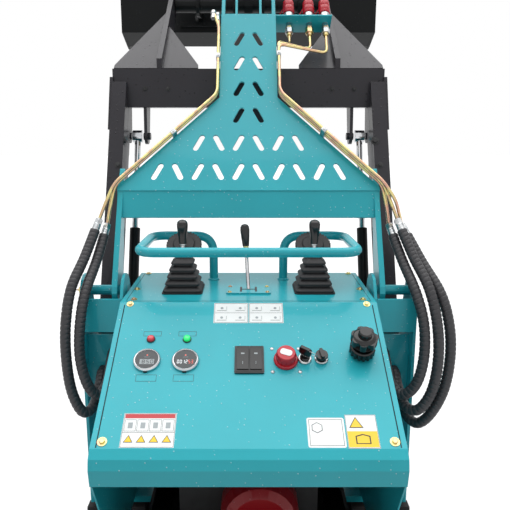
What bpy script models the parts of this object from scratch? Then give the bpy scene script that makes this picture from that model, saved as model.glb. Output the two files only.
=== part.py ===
# Compact tracked skid steer loader with its arms raised. Metres, +Z up, +Y forward, +X right.
# Side view points are (y, z), with y measured forward from the middle of the tracks.
import bpy
import bmesh
from math import cos, hypot, pi, sin
from mathutils import Matrix, Vector

GAP = 0.0003                 # between pieces that touch
PIN_PLAY = 0.0006            # radial play of a pin in its hole
SIDES = ((-1, "left"), (1, "right"))

# Lift linkage, arms raised
LIFT_PIVOT = (-0.15, 0.85)
UPPER_PIVOT = (-0.21, 1.12)
HEAD_PIVOT = (0.68, 2.08)
BUCKET_PIVOT = (0.80, 2.08)
TILT_EYE = (0.78, 2.38)
CYLINDER_BASE = (-0.12, 0.62)
CYLINDER_PIN = (0.25, 1.56)
HEAD_TOP = (HEAD_PIVOT[0] + UPPER_PIVOT[0] - LIFT_PIVOT[0], HEAD_PIVOT[1] + UPPER_PIVOT[1] - LIFT_PIVOT[1])

# Tracks
TRACK_X = 0.41
TRACK_WIDTH = 0.18
ROLLER_COUNT = 4
ROLLER_SPACING = 0.18
ROLLER_TO_WHEEL = 0.21       # from the end roller's axle to the wheel's, along the track
WHEEL_BASE = (ROLLER_COUNT - 1) * ROLLER_SPACING + 2 * ROLLER_TO_WHEEL
BELT_OUTER = 0.200
BELT_INNER = 0.178
LUG_HEIGHT = 0.020
LUG_COUNT = 36
AXLE_Z = BELT_OUTER + LUG_HEIGHT
BELT_STEPS = 32              # faces round the inside of the belt's ends
WHEEL_RADIUS = BELT_INNER * cos(pi / BELT_STEPS) - GAP
ROLLER_RADIUS = 0.055
SPROCKET_TEETH = 13
SPROCKET_DISC = 0.022        # half its thickness
HUB_RADIUS = 0.085
IDLER_HALF = 0.035
IDLER_BORE = 0.0194
CARRIER_RADIUS = 0.04
TRACK_CHEEK = 0.015          # side plates of the track frame, and half its width
TRACK_FRAME_HALF = 0.065
TRACK_ARM_Y = 0.18

# Chassis, towers and console, as half widths from the middle
CHASSIS_HALF = 0.300
CHASSIS_REAR = -0.56
CHASSIS_FRONT = 0.56
CHASSIS_FLOOR = 0.15
CHASSIS_TOP = 0.475
WALL = 0.010
SHEET = 0.005
WELD = 0.0006                # how far a welded edge stands back
CONSOLE_HALF = 0.355
TOWER_INNER = 0.362
TOWER_OUTER = 0.488
TOWER_PLATE = 0.009
TOWER_BACK = -0.275
DECK_Z = 1.12
DECK_FRONT = 0.0
DECK_REAR = -0.34
PANEL_FOOT = (-0.72, 0.895)
PANEL_LOWER = (-0.735, 0.81)
CONSOLE_HEEL = -0.55
BODY_HALF = 0.34
BODY_FRONT = 0.57
BODY_REAR_Z = 0.95
BODY_NOSE = (0.48, 0.74)
PORT_Y = -0.240                      # the rear face that carries the hose ports
RAIL_TUBE = 0.0135                   # handrail
RAIL_RISE = 0.14
RAIL_BEND = 0.055
RAIL_FOOT = (0.11, -0.083)
RAIL_REAR_Y = -0.336
CONTROL_Y = -0.205                   # joysticks' and centre lever's line
JOYSTICK_X = 0.193
BOOT_RADIUS = 0.079                  # to the corners of the boot's foot
BOOT_FOLDS = 5
FOLD_HEIGHT = 0.021
FOLD_STEP = 0.008
LEVER_RISE = 0.145
GAUGE_RADIUS = 0.031
GAUGE_DOWN = 0.200
GAUGES = (("gauge_left", -0.256), ("gauge_right", -0.159))
SWITCH_DOWN = 0.198
SWITCH_X = 0.002
BATTERY_X = 0.094
KEY_DOWN = 0.194
KEYS = (("start_switch", 0.142), ("lamp_switch", 0.184))
THROTTLE_X = 0.288
THROTTLE_DOWN = 0.176
THROTTLE_RADIUS = 0.034

# Engine bay and platform
ENGINE_LOW = (-0.19, -0.46, 0.385)
ENGINE_HIGH = (0.19, -0.06, 0.72)
SHROUD_RADIUS = 0.105
SHROUD_DEPTH = 0.10
SHROUD_AT = (0.03, 0.585)
CLEANER_RADIUS = 0.075
CLEANER_HALF = 0.11
CLEANER_AT = (-0.06, -0.36)
MUFFLER_RADIUS = 0.055
MUFFLER_HALF = 0.12
MUFFLER_AT = (0.03, -0.14)
PLATFORM_PIVOT = (-0.715, 0.185)
PLATFORM_HALF = 0.285
PLATFORM_HEIGHT = 0.40
PLATFORM_EDGE = 0.045
PLATFORM_PIN = 0.011

# Arms, as half widths from the middle
ARM_IN = 0.420
ARM_OUT = 0.470
ARM_DEPTH = 0.10
BEAM = (0.22, 0.32, 1.66, 1.79)      # cross-beam: y from, y to, z from, z to
NECK_IN = 0.300
NECK_OUT = 0.318
CYLINDER_X = 0.395
LINK_PLATE = (0.382, 0.398)
COVER_BASE = (-0.111, 1.405)
COVER_TOP = (0.29, 1.98)
COVER_HALF = 0.40
COVER_NECK = 0.095
COVER_NECK_AT = 0.345                # distance up the cover at which the neck starts
COVER_THICK = 0.006
FLANGE = 0.083
RAIL = (0.082, 0.094)
RIB = (0.038, 0.046)
HEAD_PLATE = (0.052, 0.064)
HEAD_EAR = (0.200, 0.212)
ATTACH_EAR = (0.217, 0.229)
TILT_EAR = (0.0225, 0.031)           # between the arm's ribs, which it passes when the bucket is rolled back
TILT_EAR_RADIUS = 0.018
SLOT_WIDTH = 0.0175
SLOT_LENGTH = 0.064
SLOT_LEAN = 0.44
SLOT_PITCH = 0.125
SLOT_ROW = 0.1044
SLOT_FIRST = 0.0666
SLOT_ROWS = (5, 3, 1, 1, 1, 1)       # pairs in each row, from the foot of the cover up
COUPLER_X = (0.1435, 0.215, 0.272)
BRACKET_DEPTH = 0.08
BRACKET_END = 0.292
BRACKET_PLATE = 0.006
TUBE_RADIUS = 0.006
TUBE_DROP = 0.014
FITTING_RADIUS = 0.0125

# Pins
LIFT_PIN = 0.020
UPPER_PIN = 0.015
CYLINDER_PIN_RADIUS = 0.0125
HEAD_TUBE = 0.030
HEAD_STUB = 0.018
HEAD_TOP_PIN = 0.0125
BUCKET_PIN = 0.0125
TILT_PIN = 0.011
EYE_HALF = 0.0165                    # half the width of a cylinder's eye
EYE_PLAY = 0.005                     # beside it

# Cylinders
LIFT_BARREL_LENGTH = 0.675
LIFT_BARREL_RADIUS = 0.018
LIFT_ROD_RADIUS = 0.011
LIFT_ROD_FROM = 0.350
TILT_BARREL_LENGTH = 0.215
TILT_BARREL_RADIUS = 0.021
TILT_ROD_RADIUS = 0.010
TILT_ROD_FROM = 0.128

# Quick attach
ATTACH_HALF = 0.30
ATTACH_LOW = 2.02
ATTACH_HIGH = 2.42
ATTACH_PLATE = 0.012

# Bucket
BUCKET_HALF = 0.56
BUCKET_BACK = 0.8625
BUCKET_TOP = 2.44
BUCKET_PLATE = 0.008
BUCKET_CREASE = 2.00
BUCKET_HEEL = (0.98, 1.955)
BUCKET_LIP = (1.34, 2.005)

# Hoses
HOSE_RADIUS = 0.015
# Routes of the hoses from the arm's fittings to the ports in the towers, as (x, y, z)
HOSE_ROUTES = {
    "hose_right_1": [(0.434, -0.160, 1.275), (0.452, -0.222, 1.208), (0.474, -0.300, 1.135), (0.490, -0.338, 1.055),
                     (0.490, -0.356, 0.965), (0.470, -0.366, 0.890), (0.438, -0.350, 0.850), (0.411, -0.320, 0.872),
                     (0.403, -0.292, 0.915), (0.402, PORT_Y - 0.024, 0.940)],
    "hose_right_2": [(0.456, -0.178, 1.293), (0.480, -0.238, 1.222), (0.508, -0.305, 1.150), (0.525, -0.343, 1.060),
                     (0.529, -0.360, 0.960), (0.514, -0.368, 0.868), (0.480, -0.366, 0.812), (0.450, -0.338, 0.810),
                     (0.438, -0.302, 0.848), (0.436, PORT_Y - 0.024, 0.880)],
    "hose_right_3": [(0.478, -0.160, 1.275), (0.508, -0.222, 1.208), (0.543, -0.300, 1.135), (0.561, -0.336, 1.055),
                     (0.5655, -0.350, 0.965), (0.552, -0.358, 0.872), (0.520, -0.360, 0.800), (0.488, -0.342, 0.758),
                     (0.464, -0.304, 0.766), (0.460, PORT_Y - 0.024, 0.800)],
    "hose_left_1": [(-0.434, -0.160, 1.275), (-0.446, -0.222, 1.208), (-0.462, -0.300, 1.135), (-0.470, -0.340, 1.055),
                    (-0.470, -0.358, 0.965), (-0.452, -0.366, 0.890), (-0.428, -0.350, 0.850), (-0.409, -0.320, 0.872),
                    (-0.403, -0.292, 0.915), (-0.402, PORT_Y - 0.024, 0.940)],
    "hose_left_2": [(-0.456, -0.178, 1.293), (-0.476, -0.238, 1.222), (-0.499, -0.305, 1.150), (-0.508, -0.345, 1.060),
                    (-0.508, -0.360, 0.960), (-0.496, -0.368, 0.868), (-0.470, -0.366, 0.806), (-0.448, -0.338, 0.806),
                    (-0.438, -0.302, 0.846), (-0.436, PORT_Y - 0.024, 0.880)],
}

TEAL = ((0.03, 0.38, 0.42), 0.28, 0.0)
DARK_PAINT = ((0.08, 0.077, 0.085), 0.42, 0.0)
BLACK_PAINT = ((0.012, 0.014, 0.014), 0.4, 0.0)
BLACK_PLASTIC = ((0.02, 0.02, 0.021), 0.5, 0.0)
RUBBER = ((0.018, 0.017, 0.018), 0.75, 0.0)
CHROME = ((0.75, 0.76, 0.77), 0.12, 1.0)
ZINC = ((0.62, 0.55, 0.34), 0.35, 1.0)
CAST = ((0.12, 0.12, 0.12), 0.55, 0.6)
RED = ((0.55, 0.03, 0.04), 0.35, 0.0)

machine = bpy.data.collections.new("mini_skid_steer_loader")


def clear_scene():
    for old in list(bpy.data.objects):
        bpy.data.objects.remove(old, do_unlink=True)


def material(name, finish):
    color, roughness, metallic = finish
    made = bpy.data.materials.new(name)
    made.use_nodes = True
    shader = made.node_tree.nodes["Principled BSDF"]
    shader.inputs["Base Color"].default_value = (*color, 1.0)
    shader.inputs["Roughness"].default_value = roughness
    shader.inputs["Metallic"].default_value = metallic
    return made


def loose(data, matrix=Matrix()):
    piece = bpy.data.objects.new("piece", data)
    bpy.context.scene.collection.objects.link(piece)
    piece.matrix_world = matrix
    return piece


def baked(piece, weld=True):
    # The evaluated shape as a mesh in world space, with a curve's caps welded on
    bpy.context.view_layer.update()
    evaluated = piece.evaluated_get(bpy.context.evaluated_depsgraph_get())
    mesh = bpy.data.meshes.new_from_object(evaluated)
    mesh.transform(piece.matrix_world)
    if weld:
        shape = bmesh.new()
        shape.from_mesh(mesh)
        bmesh.ops.remove_doubles(shape, verts=shape.verts, dist=1e-6)
        shape.to_mesh(mesh)
        shape.free()
    bpy.data.objects.remove(piece, do_unlink=True)
    return loose(mesh)


def box(low, high):
    shape = bmesh.new()
    bmesh.ops.create_cube(shape, size=1.0)
    size = Vector(high) - Vector(low)
    middle = (Vector(high) + Vector(low)) / 2
    bmesh.ops.transform(shape, matrix=Matrix.Translation(middle) @ Matrix.Diagonal((*size, 1)), verts=shape.verts)
    mesh = bpy.data.meshes.new("box")
    shape.to_mesh(mesh)
    shape.free()
    return loose(mesh)


def sided(side, inner, outer):
    # An x range given as distances from the middle, on one side of the machine
    return min(side * inner, side * outer), max(side * inner, side * outer)


def side_box(side, inner, outer, y_range, z_range):
    left, right = sided(side, inner, outer)
    return box((left, y_range[0], z_range[0]), (right, y_range[1], z_range[1]))


def bar(start, end, radius, sides=16, radius_end=None):
    start, end = Vector(start), Vector(end)
    shape = bmesh.new()
    bmesh.ops.create_cone(shape, cap_ends=True, segments=sides, radius1=radius,
                          radius2=radius if radius_end is None else radius_end, depth=(end - start).length)
    turn = (end - start).to_track_quat("Z", "Y").to_matrix().to_4x4()
    bmesh.ops.transform(shape, matrix=Matrix.Translation((start + end) / 2) @ turn, verts=shape.verts)
    mesh = bpy.data.meshes.new("bar")
    shape.to_mesh(mesh)
    shape.free()
    return loose(mesh)


def cross_bar(point, radius, x_range, sides=16):
    return bar((x_range[0], *point), (x_range[1], *point), radius, sides)


def plate(outlines, frame, thickness):
    # A flat plate centred on its frame's XY plane; outlines after the first are holes
    curve = bpy.data.curves.new("plate", "CURVE")
    curve.dimensions = "2D"
    curve.fill_mode = "BOTH"
    curve.extrude = thickness / 2
    for outline in outlines:
        spline = curve.splines.new("POLY")
        spline.points.add(len(outline) - 1)
        for point, (across, up) in zip(spline.points, outline):
            point.co = (across, up, 0, 1)
        spline.use_cyclic_u = True
    return baked(loose(curve, frame))


def side_plate(outline, x_range, holes=()):
    # An outline of (y, z) points, thickened along X, with round holes (point, radius)
    middle = (x_range[0] + x_range[1]) / 2
    frame = Matrix(((0, 0, 1, middle), (1, 0, 0, 0), (0, 1, 0, 0), (0, 0, 0, 1)))
    rings = [circle(point, radius, 16) for point, radius in holes]
    return plate([outline, *rings], frame, x_range[1] - x_range[0])


def circle(point, radius, steps=16):
    return [(point[0] + radius * cos(2 * pi * k / steps), point[1] + radius * sin(2 * pi * k / steps))
            for k in range(steps)]


def wrapped(*rounds, steps=14):
    # The convex outline around circles (y, z, radius); a radius of 0 is a sharp corner
    points = []
    for y, z, radius in rounds:
        points += circle((y, z), radius, steps) if radius else [(y, z)]
    points = sorted(set(points))

    def chain(run):
        kept = []
        for p in run:
            while len(kept) > 1 and ((kept[-1][0] - kept[-2][0]) * (p[1] - kept[-2][1])
                                     - (kept[-1][1] - kept[-2][1]) * (p[0] - kept[-2][0])) <= 1e-12:
                kept.pop()
            kept.append(p)
        return kept[:-1]
    return chain(points) + chain(points[::-1])


def thick_line(points, thickness):
    # A band of one thickness along an open line of (y, z) points, laid on the line's left
    normals = []
    for start, end in zip(points, points[1:]):
        length = hypot(end[0] - start[0], end[1] - start[1])
        normals.append((-(end[1] - start[1]) / length, (end[0] - start[0]) / length))
    inner = []
    for k, point in enumerate(points):
        before, after = normals[max(k - 1, 0)], normals[min(k, len(normals) - 1)]
        total = (before[0] + after[0], before[1] + after[1])
        scale = 2 * thickness / (total[0] ** 2 + total[1] ** 2)
        inner.append((point[0] + total[0] * scale, point[1] + total[1] * scale))
    return list(points) + inner[::-1]


def mid_line(points):
    # The middle of a sheet laid on the line's left, where a side plate is welded to it
    return thick_line(points, SHEET / 2)[len(points):][::-1]


def turned(profile, frame, steps=16):
    # A closed turned shape from (radius, height) points that run from top to bottom
    mesh = bpy.data.meshes.new("profile")
    mesh.from_pydata([(radius, 0, height) for radius, height in profile],
                     [(k, k + 1) for k in range(len(profile) - 1)], [])
    piece = loose(mesh, frame)
    screw = piece.modifiers.new("turn", "SCREW")
    screw.steps = screw.render_steps = steps
    screw.use_merge_vertices = True
    screw.merge_threshold = 1e-5
    return baked(piece)


def tube(points, radius, resolution=2):
    curve = bpy.data.curves.new("tube", "CURVE")
    curve.dimensions = "3D"
    curve.bevel_depth = radius
    curve.bevel_resolution = resolution
    curve.use_fill_caps = True
    spline = curve.splines.new("POLY")
    spline.points.add(len(points) - 1)
    for point, place in zip(spline.points, points):
        point.co = (*place, 1)
    return baked(loose(curve))


def smooth_route(points, steps):
    # Points along a smooth curve through the route's own points
    route = [Vector(p) for p in points]
    ends = [2 * route[0] - route[1], *route, 2 * route[-1] - route[-2]]
    line = []
    for a, b, c, d in zip(ends, ends[1:], ends[2:], ends[3:]):
        for k in range(steps):
            t = k / steps
            line.append(0.5 * (2 * b + (c - a) * t + (2 * a - 5 * b + 4 * c - d) * t ** 2
                               + (3 * b - a - 3 * c + d) * t ** 3))
    return [*line, route[-1]]


def rounded_route(points, radius, steps=4):
    # Straight runs joined by bends of one radius, as a pipe bender makes them
    route = [Vector(p) for p in points]
    line = [route[0]]
    for before, corner, after in zip(route, route[1:], route[2:]):
        back, on = (before - corner).normalized(), (after - corner).normalized()
        reach = min(radius, (before - corner).length * 0.49, (after - corner).length * 0.49)
        start, end = corner + back * reach, corner + on * reach
        for k in range(steps + 1):
            t = k / steps
            line.append((1 - t) ** 2 * start + 2 * t * (1 - t) * corner + t ** 2 * end)
    return [*line, route[-1]]


def fused(pieces, cuts=(), solver="EXACT"):
    body = pieces[0]
    for operation, tools in (("UNION", pieces[1:]), ("DIFFERENCE", cuts)):
        for tool in tools:
            change = body.modifiers.new("join", "BOOLEAN")
            change.operation = operation
            change.object = tool
            change.solver = solver
    done = baked(body, weld=False)
    for tool in [*pieces[1:], *cuts]:
        bpy.data.objects.remove(tool, do_unlink=True)
    return done


def pivot(name, point, parent):
    marker = bpy.data.objects.new(name, None)
    machine.objects.link(marker)
    marker.location = point
    if parent:
        marker.parent = parent
        bpy.context.view_layer.update()
        marker.matrix_parent_inverse = parent.matrix_world.inverted()
    bpy.context.view_layer.update()
    return marker


def keep(piece, name, finish, parent):
    # Names a finished piece, with its origin on its parent's axis
    piece.name = name
    piece.data.name = name
    piece.data.materials.clear()
    piece.data.materials.append(finish)
    place = parent.matrix_world.translation.copy()
    piece.data.transform(Matrix.Translation(-place))
    for face in piece.data.polygons:
        face.use_smooth = True
    piece.data.set_sharp_from_angle(angle=0.6)
    bpy.context.scene.collection.objects.unlink(piece)
    machine.objects.link(piece)
    piece.parent = parent
    return piece


def loop_point(along, height):
    # A point on the track's outer run, measured along the belt and out from it
    run, end = WHEEL_BASE, pi * BELT_OUTER
    radius = BELT_OUTER + height
    along %= 2 * (run + end)
    if along < run:
        return run / 2 - along, AXLE_Z - radius
    if along < run + end:
        angle = -pi / 2 - (along - run) / BELT_OUTER
        return -run / 2 + radius * cos(angle), AXLE_Z + radius * sin(angle)
    if along < 2 * run + end:
        return along - 1.5 * run - end, AXLE_Z + radius
    angle = pi / 2 - (along - 2 * run - end) / BELT_OUTER
    return run / 2 + radius * cos(angle), AXLE_Z + radius * sin(angle)


def make_track(side):
    pitch = 2 * (WHEEL_BASE + pi * BELT_OUTER) / LUG_COUNT
    outline = []
    for lug in range(LUG_COUNT):
        for share, height in ((0.22, 0), (0.30, LUG_HEIGHT), (0.70, LUG_HEIGHT), (0.78, 0)):
            outline.append(loop_point((lug + share) * pitch, height))
    inner = wrapped((-WHEEL_BASE / 2, AXLE_Z, BELT_INNER), (WHEEL_BASE / 2, AXLE_Z, BELT_INNER), steps=BELT_STEPS)
    across = sided(side, TRACK_X - TRACK_WIDTH / 2, TRACK_X + TRACK_WIDTH / 2)
    frame = Matrix(((0, 0, 1, sum(across) / 2), (1, 0, 0, 0), (0, 1, 0, 0), (0, 0, 0, 1)))
    return plate([outline, inner], frame, TRACK_WIDTH)


def make_track_frame(side):
    cheek, half = TRACK_CHEEK, TRACK_FRAME_HALF
    reach = WHEEL_BASE / 2 - 0.18
    roller_z = AXLE_Z - BELT_INNER + ROLLER_RADIUS + GAP
    top_z = AXLE_Z + BELT_INNER - CARRIER_RADIUS - GAP
    pieces = []
    for face in (-half, half - cheek):
        across = sided(side, TRACK_X + face, TRACK_X + face + cheek)
        outline = wrapped((WHEEL_BASE / 2, AXLE_Z, 0.04), (-reach, AXLE_Z, 0.03), (-reach, roller_z, 0.02),
                          (reach, roller_z, 0.02))
        pieces.append(side_plate(outline, across))
    pieces.insert(0, side_box(side, TRACK_X - half + 0.002, TRACK_X + half - 0.002, (0.02 - reach, reach - 0.03),
                              (AXLE_Z - 0.02, AXLE_Z + 0.06)))
    across = sided(side, TRACK_X - half + 0.002, TRACK_X + half - 0.002)
    for k in range(ROLLER_COUNT):
        along = (k - (ROLLER_COUNT - 1) / 2) * ROLLER_SPACING
        pieces.append(cross_bar((along, roller_z), ROLLER_RADIUS, across))
    pieces.append(side_plate(wrapped((0.0, top_z, 0.02), (-0.06, AXLE_Z, 0), (0.06, AXLE_Z, 0)),
                             sided(side, TRACK_X - 0.01, TRACK_X + 0.01)))
    pieces.append(cross_bar((0.0, top_z), CARRIER_RADIUS, sided(side, TRACK_X - 0.04, TRACK_X + 0.04)))
    for y in (-TRACK_ARM_Y, TRACK_ARM_Y):
        pieces.append(side_box(side, CHASSIS_HALF + GAP, TRACK_X - half + 0.005, (y - 0.04, y + 0.04),
                               (AXLE_Z - 0.03, AXLE_Z + 0.03)))
    hub = cross_bar((WHEEL_BASE / 2, AXLE_Z), IDLER_BORE + PIN_PLAY,
                    sided(side, TRACK_X - half - 0.01, TRACK_X + half + 0.01))
    return fused(pieces, [hub])


def make_sprocket(side):
    outline = []
    tip, root = WHEEL_RADIUS, WHEEL_RADIUS - 0.027
    for tooth in range(SPROCKET_TEETH):
        for share, radius in ((0.0, root), (0.28, root), (0.44, tip), (0.84, tip)):
            angle = 2 * pi * (tooth + share) / SPROCKET_TEETH
            outline.append((-WHEEL_BASE / 2 + radius * cos(angle), AXLE_Z + radius * sin(angle)))
    disc = side_plate(outline, sided(side, TRACK_X - SPROCKET_DISC, TRACK_X + SPROCKET_DISC))
    hub = cross_bar((-WHEEL_BASE / 2, AXLE_Z), HUB_RADIUS, sided(side, CHASSIS_HALF + GAP, TRACK_X + 0.05), 24)
    return fused([disc, hub])


def make_idler(side):
    rim, half = WHEEL_RADIUS, IDLER_HALF
    profile = [(0, 0.08), (IDLER_BORE, 0.08), (IDLER_BORE, 0.049), (0.045, 0.049), (0.045, 0.012), (rim - 0.03, 0.012),
               (rim - 0.03, half), (rim, half)]
    profile += [(radius, -height) for radius, height in profile[::-1]]
    frame = Matrix.Translation((side * TRACK_X, WHEEL_BASE / 2, AXLE_Z)) @ Matrix.Rotation(pi / 2, 4, "Y")
    return turned(profile, frame, 24)


def make_chassis():
    tub = box((-CHASSIS_HALF, CHASSIS_REAR, CHASSIS_FLOOR), (CHASSIS_HALF, CHASSIS_FRONT, CHASSIS_TOP))
    inside = box((-CHASSIS_HALF + WALL, CHASSIS_REAR + WALL, CHASSIS_FLOOR + WALL),
                 (CHASSIS_HALF - WALL, CHASSIS_FRONT - WALL, CHASSIS_TOP + 0.1))
    rear_cut = box((-CHASSIS_HALF + 0.06, CHASSIS_REAR - 0.1, ENGINE_LOW[2]),
                   (CHASSIS_HALF - 0.06, CHASSIS_REAR + 0.1, CHASSIS_TOP + 0.1))
    pieces = [fused([tub], [inside, rear_cut])]
    for side, _ in SIDES:
        pieces.append(side_box(side, 0.13, 0.17, (CHASSIS_REAR + 0.002, CHASSIS_FRONT - 0.002),
                               (CHASSIS_FLOOR + 0.002, ENGINE_LOW[2] - GAP)))
        ear = wrapped((*PLATFORM_PIVOT, 0.026), (CHASSIS_REAR + 0.002, CHASSIS_FLOOR + 0.005, 0),
                      (CHASSIS_REAR + 0.002, CHASSIS_FLOOR + 0.06, 0))
        pieces.append(side_plate(ear, sided(side, 0.215, 0.230)))
        pieces.append(cross_bar(PLATFORM_PIVOT, PLATFORM_PIN, sided(side, 0.22, 0.262)))
    return fused(pieces)


def make_platform():
    # Tread plate folded up against the frame, with a turned edge and two hinge ears
    y0, z0, z1 = PLATFORM_PIVOT[0] + 0.012, PLATFORM_PIVOT[1] + 0.035, PLATFORM_PIVOT[1] + PLATFORM_HEIGHT
    pieces = [box((-PLATFORM_HALF, y0, z0), (PLATFORM_HALF, y0 + 0.006, z1))]
    for side, _ in SIDES:
        pieces.append(side_box(side, PLATFORM_HALF - 0.006, PLATFORM_HALF, (y0 + 0.001, y0 + PLATFORM_EDGE), (z0, z1)))
        edge = y0 + PLATFORM_EDGE - 0.001
        ear = wrapped((*PLATFORM_PIVOT, 0.022), (y0 + 0.003, z0 + 0.07, 0), (edge, z0 + 0.07, 0), (edge, z0, 0))
        pieces.append(side_plate(ear, sided(side, 0.240, 0.254), [(PLATFORM_PIVOT, PLATFORM_PIN + PIN_PLAY)]))
    pieces.append(box((-PLATFORM_HALF + 0.003, y0 + 0.001, z1 - 0.006),
                      (PLATFORM_HALF - 0.003, y0 + PLATFORM_EDGE, z1)))
    return fused(pieces)


def make_tower(side):
    inner = sided(side, TOWER_INNER, TOWER_INNER + TOWER_PLATE)
    outer = sided(side, TOWER_OUTER - TOWER_PLATE, TOWER_OUTER)
    outline = wrapped((*UPPER_PIVOT, 0.05), (TOWER_BACK, 1.11, 0), (TOWER_BACK, CHASSIS_TOP - 0.02, 0),
                      (*CYLINDER_BASE, 0.06), (0.06, CHASSIS_TOP - 0.02, 0))
    whole = (TOWER_INNER + 0.001, TOWER_OUTER - 0.001)
    pieces = [side_plate(outline, inner), side_plate(outline, outer)]
    pieces.append(side_box(side, CHASSIS_HALF + GAP, TOWER_OUTER - 0.001, (TOWER_BACK + 0.001, 0.058),
                           (CHASSIS_TOP - 0.02, CHASSIS_TOP)))
    pieces.append(side_box(side, *whole, (TOWER_BACK, TOWER_BACK + 0.008), (1.01, 1.109)))
    pieces.append(side_box(side, *whole, (PORT_Y, PORT_Y + 0.008), (0.78, 0.99)))
    for point, radius in ((LIFT_PIVOT, LIFT_PIN), (UPPER_PIVOT, UPPER_PIN), (CYLINDER_BASE, CYLINDER_PIN_RADIUS)):
        pieces.append(cross_bar(point, radius, sided(side, TOWER_INNER - 0.001, TOWER_OUTER + 0.006)))
    return fused(pieces)


def console_line():
    # The console's outer line in side view, from the deck's front edge down the panel to its lower edge
    return [(DECK_FRONT, DECK_Z), (DECK_REAR, DECK_Z), PANEL_FOOT,
            (PANEL_FOOT[0] - 0.016, PANEL_FOOT[1] - 0.018), (PANEL_FOOT[0] - 0.022, PANEL_FOOT[1] - 0.042),
            PANEL_LOWER]


def make_console():
    line = console_line()
    skin = side_plate(thick_line(line, SHEET), (-CONSOLE_HALF, CONSOLE_HALF))
    outline = mid_line(line) + [(CONSOLE_HEEL, CHASSIS_TOP + GAP), (DECK_FRONT - WELD, CHASSIS_TOP + GAP)]
    outline[0] = (DECK_FRONT - WELD, outline[0][1])
    pieces = [skin]
    for side, _ in SIDES:
        pieces.append(side_plate(outline, sided(side, CONSOLE_HALF - SHEET, CONSOLE_HALF - WELD)))
    return fused(pieces)


def make_front_body():
    # Engine and tank cover between the tracks, with louvres in its sides and a grille in its nose
    rear, low = DECK_FRONT + GAP, CHASSIS_TOP + GAP
    line = [(rear, low), (rear, BODY_REAR_Z), (0.12, BODY_REAR_Z - 0.02), BODY_NOSE,
            (BODY_FRONT - 0.02, BODY_NOSE[1] - 0.05), (BODY_FRONT, BODY_NOSE[1] - 0.09), (BODY_FRONT, low)]
    skin = side_plate(thick_line(line[::-1], SHEET), (-BODY_HALF, BODY_HALF))
    pieces = [skin]
    outline = mid_line(line[::-1])
    for side, _ in SIDES:
        pieces.append(side_plate(outline, sided(side, BODY_HALF - SHEET, BODY_HALF - WELD)))
    cuts = []
    for k in range(5):
        z = 0.55 + 0.035 * k
        cuts.append(box((-BODY_HALF - 0.1, 0.20, z), (BODY_HALF + 0.1, 0.40, z + 0.014)))
    for k in range(4):
        z = 0.51 + 0.032 * k
        cuts.append(box((-0.20, BODY_FRONT - 0.05, z), (0.20, BODY_FRONT + 0.05, z + 0.014)))
    return fused(pieces, cuts)


def panel_frame(across, down, lift=0.0):
    # A frame on the sloped panel, its Z out of the panel and its Y up the slope
    slope = Vector((0, PANEL_FOOT[0] - DECK_REAR, PANEL_FOOT[1] - DECK_Z)).normalized()
    out = Vector((0, slope.z, -slope.y))
    place = Vector((across, DECK_REAR, DECK_Z)) + slope * down + out * lift
    turn = Matrix((Vector((1, 0, 0)), -slope, out)).transposed().to_4x4()
    return Matrix.Translation(place) @ turn


def make_handrail():
    foot, top = DECK_Z + GAP, DECK_Z + RAIL_RISE
    half = [(RAIL_FOOT[0], RAIL_FOOT[1], foot), (RAIL_FOOT[0], RAIL_FOOT[1], top), (0.30, RAIL_FOOT[1] + 0.007, top),
            (0.305, RAIL_REAR_Y, top)]
    route = [(-x, y, z) for x, y, z in half] + half[::-1]
    return tube(rounded_route(route, RAIL_BEND), RAIL_TUBE)


def make_joystick(side):
    # Square bellows boot, lever and knob
    x, y = side * JOYSTICK_X, CONTROL_Y
    pieces = []
    for k in range(BOOT_FOLDS):
        low, corner = DECK_Z + GAP + k * FOLD_HEIGHT, BOOT_RADIUS - FOLD_STEP * k
        cone = bar((x, y, low), (x, y, low + FOLD_HEIGHT + 0.004), corner, 4, corner - 0.016)
        cone.data.transform(Matrix.Translation((x, y, 0)) @ Matrix.Rotation(pi / 4, 4, "Z")
                            @ Matrix.Translation((-x, -y, 0)))
        pieces.append(cone)
    top = DECK_Z + BOOT_FOLDS * FOLD_HEIGHT
    pieces.append(bar((x, y, top - 0.01), (x, y, top + 0.04), 0.007, 12))
    pieces.append(turned([(0, 0.07), (0.012, 0.067), (0.016, 0.055), (0.0155, 0.035), (0.011, 0), (0, 0)],
                         Matrix.Translation((x, y, top + 0.035)), 16))
    return fused(pieces)


def make_centre_lever():
    x, y = 0.0, CONTROL_Y - 0.010
    plate_top = DECK_Z + GAP + 0.004
    gate = box((-0.065, y - 0.045, DECK_Z + GAP), (0.065, y + 0.035, plate_top))
    stem = bar((x, y, plate_top - 0.002), (x - 0.008, y + 0.03, DECK_Z + LEVER_RISE), 0.006, 12)
    knob = turned([(0, 0.065), (0.010, 0.062), (0.0135, 0.05), (0.010, 0), (0, 0)],
                  Matrix.Translation((x - 0.008, y + 0.03, DECK_Z + LEVER_RISE - 0.005)), 16)
    return fused([gate, stem, knob])


def knurled(radius, height, teeth, frame):
    outline = []
    for k in range(teeth):
        for share, reach in ((0.1, radius), (0.5, radius), (0.65, radius * 0.9), (0.95, radius * 0.9)):
            angle = 2 * pi * (k + share) / teeth
            outline.append((reach * cos(angle), reach * sin(angle)))
    return plate([outline], frame @ Matrix.Translation((0, 0, height / 2)), height)


def panel_plate(across, half_x, half_y, low, high):
    # A rectangular plate on the panel at the switches' height, from one lift above it to another
    outline = [(-half_x, -half_y), (half_x, -half_y), (half_x, half_y), (-half_x, half_y)]
    return plate([outline], panel_frame(across, SWITCH_DOWN, GAP + (low + high) / 2), high - low)


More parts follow.
